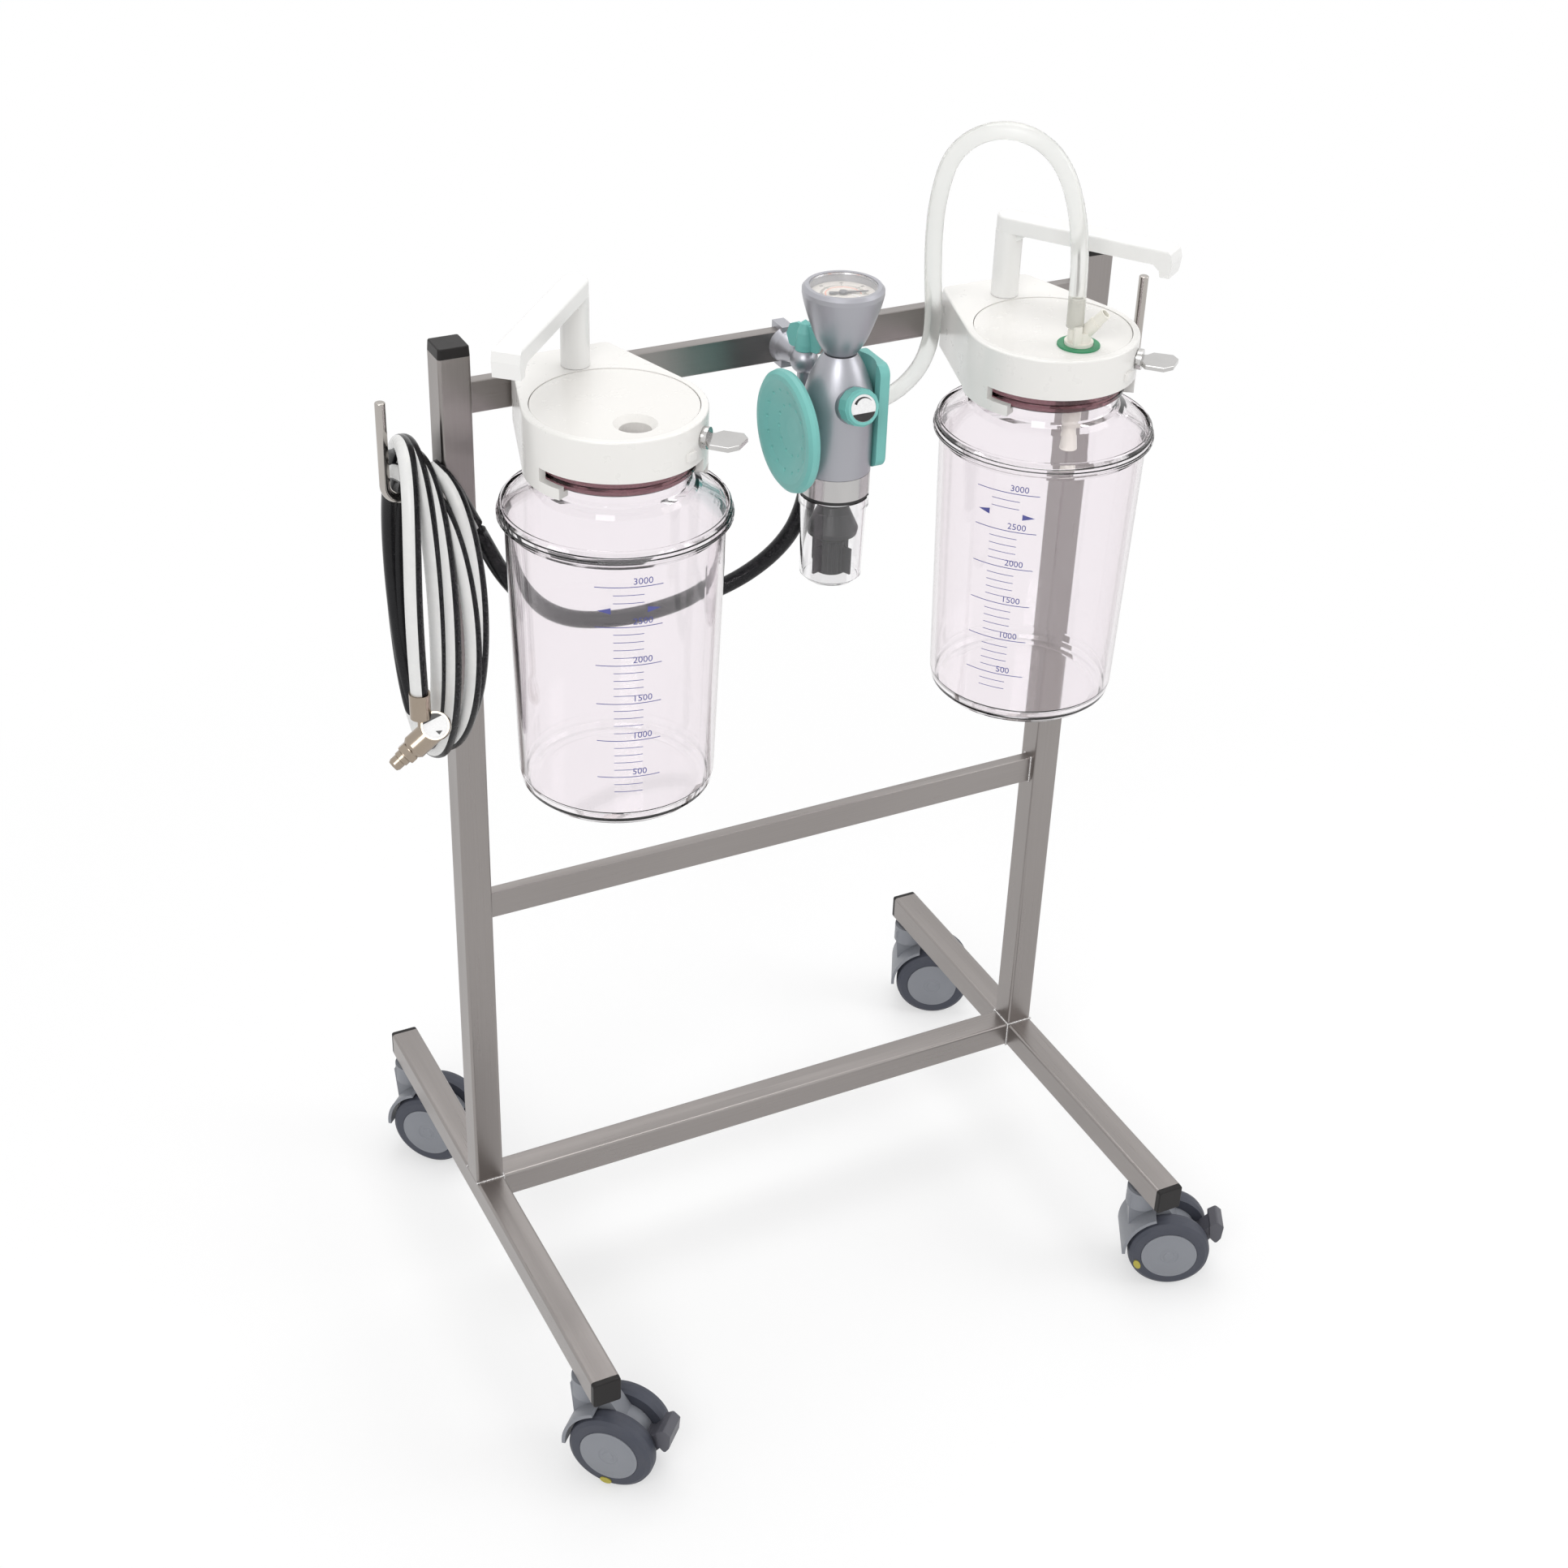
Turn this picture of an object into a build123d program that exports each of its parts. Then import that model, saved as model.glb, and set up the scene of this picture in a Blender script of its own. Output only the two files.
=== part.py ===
from build123d import *
import math
import os

# Millimetres, +Z up. The floor is z = 0 and the origin is the middle of the footprint.
# Everything is drawn with the uprights at x = +-275, y = 0, and each piece is moved by these when written.
frame_x = -8.0
frame_y = 33.0

# Frame: square stainless tube, flat bars, round hooks
tube_side = 25.0
tube_wall = 1.5
upright_gap = 525.0
foot_top = 125.0
upright_top = 911.0
foot_front = -273.0
foot_back = 217.0
bar_height = 25.0
bar_depth = 10.0
rail_bottom = 862.5
middle_bar_bottom = 405.0
cap_height = 8.0
foot_cap_depth = 5.0
cap_plug_length = 14.0
cap_plug_clearance = 0.3
hook_rod_r = 4.0
hook_reach = 41.0
hook_arm_z = 803.0
hook_top = 881.0
hook_bend_r = 12.0

# Twin-wheel casters
wheel_r = 37.5
tyre_width = 17.0
tyre_edge_r = 5.0
hub_r = 26.0
hub_inset = 1.5
caster_half_width = 27.0
caster_trail = 28.0
axle_r = 4.0
axle_clearance = 0.05
stem_r = 5.5
stem_flange_r = 11.0
stem_depth = 22.0
stem_clearance = 0.05
housing_r = 27.0
housing_gap = 0.6
housing_top = 97.0
fender_gap = 2.5
fender_wall = 3.0
front_stem_y = -238.0
rear_stem_y = 206.0
pedal_pin_r = 3.0
pedal_pin_clearance = 0.05
pedal_seat_r = 25.5
pedal_seat_angle = 20.0
pedal_width = 24.0

# Jars and their heads, drawn about the jar's axis
jar_left_x = -191.5
jar_right_x = 170.5
jar_axis_y = -109.0
jar_bottom = 590.0
jar_wall = 4.0
jar_bottom_r = 74.5
jar_body_r = 80.7
jar_corner_r = 14.0
rim_bottom = 817.5
rim_height = 10.5
rim_r = 86.0
rim_dish_r = 82.0
neck_base = 845.0
neck_r = 55.5
neck_top = 892.0
collar_bottom = 857.5
collar_height = 13.0
collar_r = 59.0

head_r = 66.5
head_top = 902.6
skirt_bottom = 871.5
box_bottom = 855.0
box_half_width = 38.4
head_wall = 3.5
head_top_wall = 4.0
lid_r = 60.5
lid_seam = 0.4
lid_drop = 0.5
lid_plug_depth = 4.0
port_y = -36.0
port_r = 11.5
port_mouth_r = 15.8
port_mouth_depth = 4.5
post_y = 72.5
spindle_r = 7.0
spindle_depth = 22.0
spindle_clearance = 0.05
arm_top = 861.5
arm_bottom = 853.0
rail_hook_gap = 0.3
rail_hook_wall = 3.5
rail_hook_width = 60.0
rail_hook_drop = 11.0
seat_gap = 0.3

handle_r = 10.7
handle_rise = 65.4
handle_top = head_top + handle_rise
handle_arm_height = 12.5
handle_reach = 137.0
handle_tip_drop = 21.0
handle_tip_depth = 9.0
handle_left_heading = -132.0
handle_right_heading = -55.0

lever_heading = -45.0
lever_z = 888.0
lever_pin_r = 4.0
lever_boss_r = 8.0
lever_length = 30.0
lever_width = 28.0
lever_plate = 3.5

# Hose connector on the right lid
seal_r = 16.3
seal_height = 1.6
connector_r = 8.6
connector_foot_r = 11.0
spigot_r = 4.8
side_spigot_r = 4.4
spigot_bore_r = 3.2
spigot_x = -5.0
spigot_top = 940.5
nozzle_bottom = 817.0
nozzle_taper = 17.0

# Vacuum regulator, drawn about its upright axis
regulator_x = 0.5
regulator_y = -85.0
body_r = 27.0
body_bottom = 807.0
body_straight = 52.0
body_shoulder = body_bottom + body_straight
neck_bulge = 22.0
neck_rise = 41.0
neck_z = body_shoulder + neck_rise
gauge_neck_r = 12.5
gauge_r = 30.6
gauge_height = 53.0
gauge_top = neck_z + gauge_height
gauge_gap = 1.0
lens_r = 25.5
dial_depth = 8.5
dial_z = gauge_top - dial_depth
needle_pin_r = 1.2
port_block_rise = 5.0
port_block_height = 34.0
tube_port_rise = 26.0
gland_drop = 22.0
gland_collar = 7.0
ring_height = 17.5
ring_gap = 0.3
seal_ring_height = 3.0
bottle_top_r = 26.2
bottle_bottom_r = 24.0
bottle_length = 70.9
bottle_wall = 1.8
silencer_r = 20.0
silencer_core_r = 12.4
wheel_disc_r = 47.0
wheel_rise = 36.5
wheel_z = body_bottom + wheel_rise
wheel_shaft_r = 5.0
wheel_shaft_depth = 12.0
dimple_rows = ((31.0, 15.6, 16, 0), (19.5, 11.6, 12, 10))
knob_tilt = 15.0
knob_z = 861.0
knob_r = 14.0
knob_flats = 12
knob_length = 13.0
knob_front = 41.0
knob_shaft_r = 4.0
shaft_clearance = 0.05
cover_thickness = 6.0
cover_width = 44.0
cover_inset = 1.0
cover_drop = 8.0
clamp_x = -4.5
clamp_y = -37.0
clamp_z = 876.0
clamp_ball_r = 10.8
clamp_cone_r = 14.0
clamp_leg_r = 5.0
wing_r = 7.3
wing_height = 24.0
wing_span = 17.0
wing_heading = -66.0
wing_stud_r = 3.0

# Hose and tube
hose_r = 6.75
probe_disc_r = 10.8
hose_ferrule_r = 8.0
silicone_r = 6.6
coil_x = -306.0
coil_y = 0.0
coil_top = 859.5
coil_bottom = 575.0
coil_width = 134.0
coil_band = 43.0
coil_thickness = 33.0


def ring_points(radius, degrees):
    a = math.radians(degrees)
    return (radius * math.cos(a), radius * math.sin(a))


def cylinder_z(radius, low, high, x=0.0, y=0.0):
    return Pos(x, y, (low + high) / 2) * Cylinder(radius, high - low)


def block(x0, x1, y0, y1, z0, z1):
    return Pos((x0 + x1) / 2, (y0 + y1) / 2, (z0 + z1) / 2) * Box(x1 - x0, y1 - y0, z1 - z0)


def revolved(points):
    return revolve(Plane.XZ * make_face(Polyline(*points, close=True)), Axis.Z)


def turned(shape, heading):
    return Rot(0, 0, heading) * shape


def save(name, *shapes):
    solids = [Pos(frame_x, frame_y, 0) * s for shape in shapes for s in shape.solids()]
    whole = solids[0] if len(solids) == 1 else Compound(children=solids)
    export_step(whole, f"parts/{name}.step")


# Frame

upright_x = (upright_gap + tube_side) / 2
half_tube = tube_side / 2
foot_bottom = foot_top - tube_side


def tube(length, axis):
    outer = RectangleRounded(tube_side, tube_side, 2.5)
    inner_side = tube_side - 2 * tube_wall
    inner = RectangleRounded(inner_side, inner_side, 1.5)
    return extrude(Plane(origin=(0, 0, 0), z_dir=axis) * (outer - inner), length)


def upright(side):
    return Pos(side * upright_x, 0, foot_top) * tube(upright_top - foot_top, (0, 0, 1))


def foot(side):
    blank = Pos(side * upright_x, foot_front, foot_bottom + half_tube) * tube(foot_back - foot_front, (0, 1, 0))
    for y in (front_stem_y, rear_stem_y):
        blank -= cylinder_z(stem_r + seat_gap, foot_bottom - 1, foot_top - 2 * tube_wall, side * upright_x, y)
    return blank


def flat_bar(bottom):
    bar = block(-upright_gap / 2, upright_gap / 2, -bar_depth / 2, bar_depth / 2, bottom, bottom + bar_height)
    return chamfer(bar.edges().filter_by(Axis.X), 0.6)


def tube_cap(depth):
    plug_side = tube_side - 2 * tube_wall - 2 * cap_plug_clearance
    head = extrude(RectangleRounded(tube_side, tube_side, 2.5), depth, taper=4)
    head = fillet(head.faces().sort_by(Axis.Z)[-1].edges(), min(1.2, depth / 4))
    return head + extrude(RectangleRounded(plug_side, plug_side, 1.5), -cap_plug_length)


def foot_end_cap(side, y, outward):
    plane = Plane(origin=(side * upright_x, y, foot_bottom + half_tube), z_dir=(0, outward, 0))
    cap = plane.location * tube_cap(foot_cap_depth)
    stem_y = front_stem_y if outward < 0 else rear_stem_y
    return cap - cylinder_z(stem_r + 1, foot_bottom, foot_top - tube_wall, side * upright_x, stem_y)


def hook(side):
    start = side * (upright_x + half_tube)
    bend = side * (upright_x + half_tube + hook_reach)
    path = FilletPolyline(
        (start, 0, hook_arm_z), (bend, 0, hook_arm_z), (bend, 0, hook_top), radius=hook_bend_r
    )
    section = Plane(origin=(start, 0, hook_arm_z), z_dir=(side, 0, 0)) * Circle(hook_rod_r)
    rod = sweep(section, path=path)
    tip = rod.faces().sort_by(Axis.Z)[-1]
    return fillet(tip.edges(), 1.0)


# Casters: the caster is drawn trailing towards +X with its stem on the Z axis

axle_z = wheel_r
housing_half = caster_half_width - tyre_width - housing_gap


pedal_x = caster_trail + pedal_seat_r * math.cos(math.radians(pedal_seat_angle))
pedal_z = axle_z + pedal_seat_r * math.sin(math.radians(pedal_seat_angle))


def caster_stem():
    bolt = cylinder_z(stem_r, housing_top - 12, foot_bottom + stem_depth)
    flange = cylinder_z(stem_flange_r, housing_top + 0.3, foot_bottom)
    return bolt + flange


def caster_housing():
    side_plane = Plane.XZ.offset(-housing_half)
    core_profile = Pos(caster_trail, axle_z) * Circle(housing_r)
    neck_profile = make_face(
        Polyline(
            (-13, housing_top - 6), (-10, housing_top), (12, housing_top), (caster_trail + 8, axle_z + 24),
            (caster_trail, axle_z), (-9, axle_z + 8), close=True,
        )
    )
    core = extrude(side_plane * (core_profile + neck_profile), 2 * housing_half)
    fender_r = wheel_r + fender_gap
    shell = Pos(caster_trail, axle_z) * (Circle(fender_r + fender_wall) - Circle(fender_r))
    wedge = make_face(Polyline((0, 0), ring_points(90, 112), ring_points(90, 184), close=True))
    fender_profile = shell & (Pos(caster_trail, axle_z) * wedge)
    fender = extrude(Plane.XZ.offset(-caster_half_width + 2) * fender_profile, 2 * caster_half_width - 4)
    dome = cylinder_z(14.5, axle_z + fender_r + 1, housing_top)
    dome &= Pos(caster_trail, 0, axle_z) * Rot(90, 0, 0) * (Cylinder(90, 60) - Cylinder(fender_r, 60))
    body = core + fender + dome
    body -= cylinder_z(stem_r + stem_clearance, housing_top - 13, housing_top + 1)
    body -= pedal_pin(pedal_pin_r + pedal_pin_clearance, 2 * housing_half + 1)
    axle = Pos(caster_trail, 0, axle_z) * Rot(90, 0, 0) * Cylinder(axle_r, 2 * caster_half_width - 6)
    return body + axle


def caster_wheel(side):
    inner = caster_half_width - tyre_width
    tyre_profile = make_face(
        Polyline(
            (hub_r, inner), (wheel_r - 1.5, inner), (wheel_r, inner + 4), (wheel_r, caster_half_width - 7),
            (wheel_r - 1.2, caster_half_width - 3), (wheel_r - 4.5, caster_half_width - 0.6),
            (hub_r, caster_half_width), close=True,
        )
    )
    hub_profile = make_face(
        Polyline(
            (0, caster_half_width - 2.6), (axle_r + axle_clearance, caster_half_width - 2.6),
            (axle_r + axle_clearance, inner), (hub_r, inner), (hub_r, caster_half_width - 0.4),
            (hub_r - 1.5, caster_half_width + 0.3), (0, caster_half_width + 1.0), close=True,
        )
    )
    tyre = revolve(Plane.XZ * tyre_profile, Axis.Z)
    hub = revolve(Plane.XZ * hub_profile, Axis.Z)
    place = Pos(caster_trail, 0, axle_z) * Rot(90 * side, 0, 0)
    return Compound(children=[place * tyre, place * hub])


def pedal_pin(radius, length):
    return Pos(pedal_x, 0, pedal_z) * Rot(90, 0, 0) * Cylinder(radius, length)


def brake_pedal():
    half = housing_half - 0.5
    arm_profile = make_face(
        Polyline(
            (pedal_x + 5.4, pedal_z - 5.7), (pedal_x + 5.4, pedal_z + 5), (pedal_x + 17, pedal_z + 18),
            (pedal_x + 21, pedal_z + 15), (pedal_x + 15, pedal_z - 1), (pedal_x + 8, pedal_z - 10.7), close=True,
        )
    )
    neck_profile = Pos(pedal_x, pedal_z) * Rot(0, 0, 20) * Pos(4, 0) * Rectangle(8, 3)
    arm = extrude(Plane.XZ.offset(-half) * (arm_profile + neck_profile), 2 * half)
    pad_profile = make_face(
        Polyline(
            (pedal_x + 14, pedal_z + 1.5), (pedal_x + 12, pedal_z + 16), (pedal_x + 19, pedal_z + 21),
            (pedal_x + 25, pedal_z + 16), (pedal_x + 24, pedal_z + 2), (pedal_x + 20, pedal_z - 4.5), close=True,
        )
    )
    pad = extrude(Plane.XZ.offset(-pedal_width / 2) * pad_profile, pedal_width)
    pad = fillet(pad.edges().filter_by(Axis.Y), 1.8)
    return arm + pad + pedal_pin(pedal_pin_r, 2 * half)


# Jars and heads: drawn about the jar's axis

box_back = -jar_axis_y - bar_depth / 2 - rail_hook_gap


def jar():
    inner_bottom_r = jar_bottom_r - jar_wall
    rim_top = rim_bottom + rim_height
    outer = Polyline(
        (0, jar_bottom), (jar_bottom_r - jar_corner_r, jar_bottom), (jar_bottom_r - 6, jar_bottom + 2),
        (jar_bottom_r - 1.6, jar_bottom + 6.5), (jar_bottom_r, jar_bottom + jar_corner_r), (jar_body_r, rim_bottom - 3),
        (rim_r - 2.5, rim_bottom - 1), (rim_r - 0.8, rim_bottom), (rim_r, rim_bottom + 1.2), (rim_r, rim_bottom + 3),
        (rim_r - 1, rim_bottom + 3.6), (rim_r - 1, rim_bottom + 5.8), (rim_r - 2, rim_bottom + 6.4),
        (rim_r - 2, rim_top - 1), (rim_r - 3, rim_top), (rim_dish_r, rim_top), (rim_dish_r - 1.5, rim_top - 1.5),
        (neck_r + 7, neck_base - 3.5), (neck_r + 2, neck_base - 0.5), (neck_r, neck_base + 4), (neck_r, neck_top),
        (neck_r - jar_wall, neck_top), (neck_r - jar_wall, neck_base), (neck_r + 3, neck_base - jar_wall - 3),
        (rim_dish_r - 3, rim_top - jar_wall - 3), (jar_body_r - jar_wall, rim_bottom - 6),
        (inner_bottom_r, jar_bottom + jar_corner_r), (inner_bottom_r - 2.5, jar_bottom + 8),
        (inner_bottom_r - 8, jar_bottom + jar_wall + 0.6), (inner_bottom_r - jar_corner_r, jar_bottom + jar_wall),
        (0, jar_bottom + jar_wall), close=True,
    )
    return revolve(Plane.XZ * make_face(outer), Axis.Z)


def neck_collar():
    low, high = collar_bottom, collar_bottom + collar_height
    inner = neck_r + 0.05
    return revolved(
        [
            (inner, low), (collar_r - 1.5, low), (collar_r, low + 1.5), (collar_r, low + 4),
            (collar_r - 1.5, low + 5.5), (collar_r - 0.3, low + 7), (collar_r - 0.3, high - 1.5),
            (collar_r - 1.5, high), (inner, high),
        ]
    )


def head_plan(inset=0.0):
    r = head_r - inset
    half, back = box_half_width - inset, box_back - inset
    corner_angle = math.degrees(math.atan2(back, half))
    tangent = corner_angle - math.degrees(math.acos(r / math.hypot(half, back)))
    tx, ty = ring_points(r, tangent)
    wings = make_face(Polyline((half, back), (tx, ty), (0, -1), (-tx, ty), (-half, back), close=True))
    return Circle(r) + wings


def sector(radius, start, end):
    middle = (start + end) / 2
    return make_face(
        Polyline((0, 0), ring_points(radius, start), ring_points(radius * 1.2, middle), ring_points(radius, end), close=True)
    )


def head():
    outer = extrude(Plane.XY.offset(box_bottom) * head_plan(), head_top - box_bottom)
    outer = fillet(outer.edges().filter_by(Axis.Z).filter_by_position(Axis.Y, box_back - 1, box_back + 1), 7)
    outer = fillet(outer.faces().sort_by(Axis.Z)[-1].edges(), 1.6)
    front_cut = Rot(0, 0, 0) * block(-head_r - 1, head_r + 1, -head_r - 1, 22, box_bottom - 1, skirt_bottom)
    body = outer - front_cut
    lower_ring = Circle(head_r) - Circle(collar_r + seat_gap)
    left_arm = extrude(Plane.XY.offset(arm_bottom) * (lower_ring & sector(head_r, 158, 211)), arm_top - arm_bottom)
    left_post = extrude(Plane.XY.offset(arm_bottom) * (lower_ring & sector(head_r, 158, 194)), skirt_bottom - arm_bottom + 1)
    right_arm = extrude(Plane.XY.offset(arm_bottom + 8) * (lower_ring & sector(head_r, -44, 22)), skirt_bottom - arm_bottom - 7)
    body += left_arm + left_post + right_arm
    pocket = head_plan(head_wall) - Circle(head_r)
    body -= extrude(Plane.XY.offset(box_bottom - 1) * pocket, head_top - head_top_wall - box_bottom + 1)
    body -= cylinder_z(lid_r + lid_seam, arm_bottom - 1, head_top + 1)
    post_boss = cylinder_z(spindle_r + 4, head_top - spindle_depth - 4, head_top - head_top_wall, 0, post_y)
    ledge = cylinder_z(lid_r + lid_seam + 0.2, skirt_bottom, skirt_bottom + 2.5) - cylinder_z(collar_r + seat_gap, 0, head_top)
    body += (post_boss - cylinder_z(head_r, 0, head_top)) + ledge
    seat = Circle(lid_r + lid_seam + 0.2) - Circle(neck_r + 0.8)
    support = extrude(Plane.XY.offset(arm_bottom) * (seat & sector(head_r, 158, 211)), collar_bottom - arm_bottom)
    support += extrude(Plane.XY.offset(arm_bottom) * (seat & sector(head_r, -31, 22)), collar_bottom - arm_bottom)
    support += extrude(Plane.XY.offset(arm_bottom) * ((Circle(head_r) - Circle(neck_r + 0.8)) & sector(head_r, -31, 22)), collar_bottom - arm_bottom)
    body += support
    body -= cylinder_z(spindle_r + spindle_clearance, head_top - spindle_depth - 1, head_top + 1, 0, post_y)
    pin = Plane(origin=(*ring_points(lid_r - 2, lever_heading), lever_z), z_dir=(*ring_points(1, lever_heading), 0))
    body -= pin.location * Pos(0, 0, 6) * Cylinder(lever_pin_r + shaft_clearance, 14)
    nub = turned(block(head_r - 1, head_r + 2.2, -4.5, 4.5, skirt_bottom + 6.5, skirt_bottom + 12.5), -61)
    return body + nub + rail_hook()


def rail_hook():
    rail_top = rail_bottom + bar_height
    front = box_back - head_wall / 2
    back = box_back + rail_hook_gap + bar_depth + rail_hook_gap
    half = rail_hook_width / 2
    over = block(-half, half, front, back + rail_hook_wall, rail_top + rail_hook_gap, rail_top + rail_hook_gap + 4)
    lip = block(-half, half, back, back + rail_hook_wall, rail_top - rail_hook_drop, rail_top + rail_hook_gap + 4)
    return over + lip


def lid():
    top = head_top - lid_drop
    plug_r = neck_r - jar_wall - 0.4
    disc = cylinder_z(lid_r, neck_top + seat_gap, top) + cylinder_z(plug_r, neck_top - lid_plug_depth, neck_top + 1)
    disc = fillet(disc.edges().group_by(Axis.Z)[-1], 0.6)
    mouth = Pos(0, port_y, top - port_mouth_depth / 2) * Cone(port_r, port_mouth_r, port_mouth_depth)
    return disc - cylinder_z(port_r, 0, top + 1, 0, port_y) - mouth


def handle(heading):
    under = handle_top - handle_arm_height
    half = handle_r - 0.3
    inner = handle_reach - handle_tip_depth
    side = make_face(
        Polyline(
            (-half, under), (inner - 6, under), (inner - 1, under - 4), (inner, handle_top - handle_tip_drop),
            (handle_reach - 1.5, handle_top - handle_tip_drop), (handle_reach, handle_top - 9),
            (handle_reach - 2, handle_top - 2.5), (handle_reach - 6, handle_top), (-half, handle_top), close=True,
        )
    )
    plan = Circle(half) + Pos(handle_reach / 2, 0) * Rectangle(handle_reach, 2 * half)
    arm = extrude(Plane.XZ.offset(-half - 1) * side, 2 * half + 2)
    arm &= extrude(Plane.XY.offset(handle_top - 40) * plan, 60)
    arm = fillet(arm.faces().sort_by(Axis.Z)[-1].edges(), 2.4)
    post = cylinder_z(handle_r, head_top + seat_gap, under)
    spindle = cylinder_z(spindle_r, head_top - spindle_depth, head_top + seat_gap)
    web = make_face(Polyline((handle_r - 3, under), (handle_r + 7, under), (handle_r - 3, under - 8), close=True))
    gusset = extrude(Plane.XZ.offset(-half + 4) * web, 2 * half - 8)
    return turned(post + spindle + arm + gusset, heading)


def lever():
    start = head_r + seat_gap
    pin = Pos((start + lid_r + 1.0) / 2, 0, 0) * Rot(0, 90, 0) * Cylinder(lever_pin_r, start - lid_r - 1.0 + 0.5)
    boss = Pos(start + 2, 0, 0) * Rot(0, 90, 0) * Cylinder(lever_boss_r, 4)
    plate_shape = make_face(
        Polyline(
            (start + 1, -6), (start + 5, -9), (start + 9, -lever_width / 2), (start + lever_length - 7, -lever_width / 2),
            (start + lever_length - 1, -lever_width / 2 + 7), (start + lever_length, lever_width / 2 - 6),
            (start + lever_length - 5, lever_width / 2), (start + 10, lever_width / 2 - 1), (start + 6, 7), (start + 1, 5),
            close=True,
        )
    )
    plate = extrude(Plane.XY.offset(-lever_plate / 2) * plate_shape, lever_plate)
    plate = fillet(plate.faces().sort_by(Axis.Z)[-1].edges(), 0.8)
    return Pos(0, 0, lever_z) * turned(pin + boss + plate, lever_heading)


def port_seal():
    top = head_top - lid_drop
    ring = cylinder_z(seal_r, top + 0.05, top + seal_height, 0, port_y)
    ring = fillet(ring.edges().group_by(Axis.Z)[-1], 0.7)
    return ring - cylinder_z(connector_foot_r + 0.3, 0, head_top + 9, 0, port_y)


def tube_along(start, direction, length, outer_r, bore_r=0.0):
    plane = Plane(origin=start, z_dir=direction)
    shape = extrude(plane * Circle(outer_r), length)
    return shape if bore_r == 0 else shape - extrude(plane * Circle(bore_r), length)


def hose_connector():
    top = head_top - lid_drop
    foot = cylinder_z(connector_foot_r, top - 6, top + 4, 0, port_y)
    base = cylinder_z(connector_r, top + 3, top + 12, 0, port_y)
    spigot = cylinder_z(spigot_r, top + 6, spigot_top, spigot_x, port_y)
    barb = cylinder_z(spigot_r + 0.5, spigot_top - 6, spigot_top - 3, spigot_x, port_y)
    side_start, side_dir = (1, port_y - 0.5, top + 7), (9.7, -10, 17)
    side = tube_along(side_start, side_dir, 17, side_spigot_r + 0.8) + tube_along(side_start, side_dir, 27, side_spigot_r)
    ribs = block(-9.5, -3.5, port_y - 8.6, port_y - 6.2, top + 3, top + 18)
    stem = cylinder_z(7, nozzle_bottom + nozzle_taper, top - 5, 0, port_y)
    nozzle = Pos(0, port_y, nozzle_bottom + nozzle_taper / 2) * Cone(6.8, 4.9, nozzle_taper)
    body = foot + base + spigot + barb + side + ribs + stem + nozzle
    body -= cylinder_z(spigot_bore_r, top + 8, spigot_top + 1, spigot_x, port_y)
    body -= tube_along(side_start, side_dir, 40, spigot_bore_r)
    return body - cylinder_z(3.6, nozzle_bottom - 1, nozzle_bottom + 30, 0, port_y)


# Vacuum regulator: drawn about its own axis

ring_top = body_bottom - ring_gap
ring_bottom = ring_top - ring_height
seal_ring_bottom = ring_bottom - seal_ring_height
bottle_top = seal_ring_bottom - ring_gap
bottle_bottom = bottle_top - bottle_length
gland_y = body_r + hose_r + 1.8
port_block_back = gland_y + 5.5
port_block_bottom, port_block_top = body_bottom + port_block_rise, body_bottom + port_block_rise + port_block_height
tube_port, tube_dir = (9, 18, body_bottom + tube_port_rise), (0.897, 0.442, 0)
knob_dir = (0, -math.cos(math.radians(knob_tilt)), math.sin(math.radians(knob_tilt)))


def regulator_body():
    shape = revolve(
        Plane.XZ * make_face(
            Line((0, body_bottom), (body_r, body_bottom)) + Line((body_r, body_bottom), (body_r, body_shoulder))
            + Spline((body_r, body_shoulder), (body_r - 4.6, body_shoulder + neck_bulge), (gauge_neck_r, neck_z), tangents=((0, 1), (-0.75, 1)))
            + Line((gauge_neck_r, neck_z), (0, neck_z)) + Line((0, neck_z), (0, body_bottom))
        ),
        Axis.Z,
    )
    shape += tube_along((0, 0, knob_z), knob_dir, knob_front - knob_length - ring_gap, knob_r + 0.6)
    shape += block(-9, 9, 16, port_block_back, port_block_bottom, port_block_top)
    knob_bore = tube_along((0, 0, knob_z), knob_dir, knob_front, knob_shaft_r + shaft_clearance)
    knob_bore &= tube_along((0, -14, knob_z + 3.7), knob_dir, 40, 10)
    shape -= knob_bore
    wheel_bore = Pos(-body_r, 0, wheel_z) * Rot(0, 90, 0) * Cylinder(wheel_shaft_r + shaft_clearance, 2 * wheel_shaft_depth + 1)
    return shape - wheel_bore - cylinder_z(3.0, neck_z - 6, neck_z + 1)


def hose_gland():
    low = port_block_bottom - gland_drop
    drop = tube_along((-3, gland_y, port_block_bottom), (0, 0, -1), gland_drop, 5.4, 3.0)
    collar = cylinder_z(hose_r + 0.9, low, low + gland_collar, -3, gland_y)
    collar -= cylinder_z(5.3, low - 10, low + gland_collar + 3, -3, gland_y)
    return drop + collar


def tube_gland():
    nipple = tube_along(tube_port, tube_dir, 20, 4.4, 3.0) - cylinder_z(body_r, body_bottom - 7, neck_z - 30)
    return nipple - block(-9, 9, 16, port_block_back, port_block_bottom, port_block_top)


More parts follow.
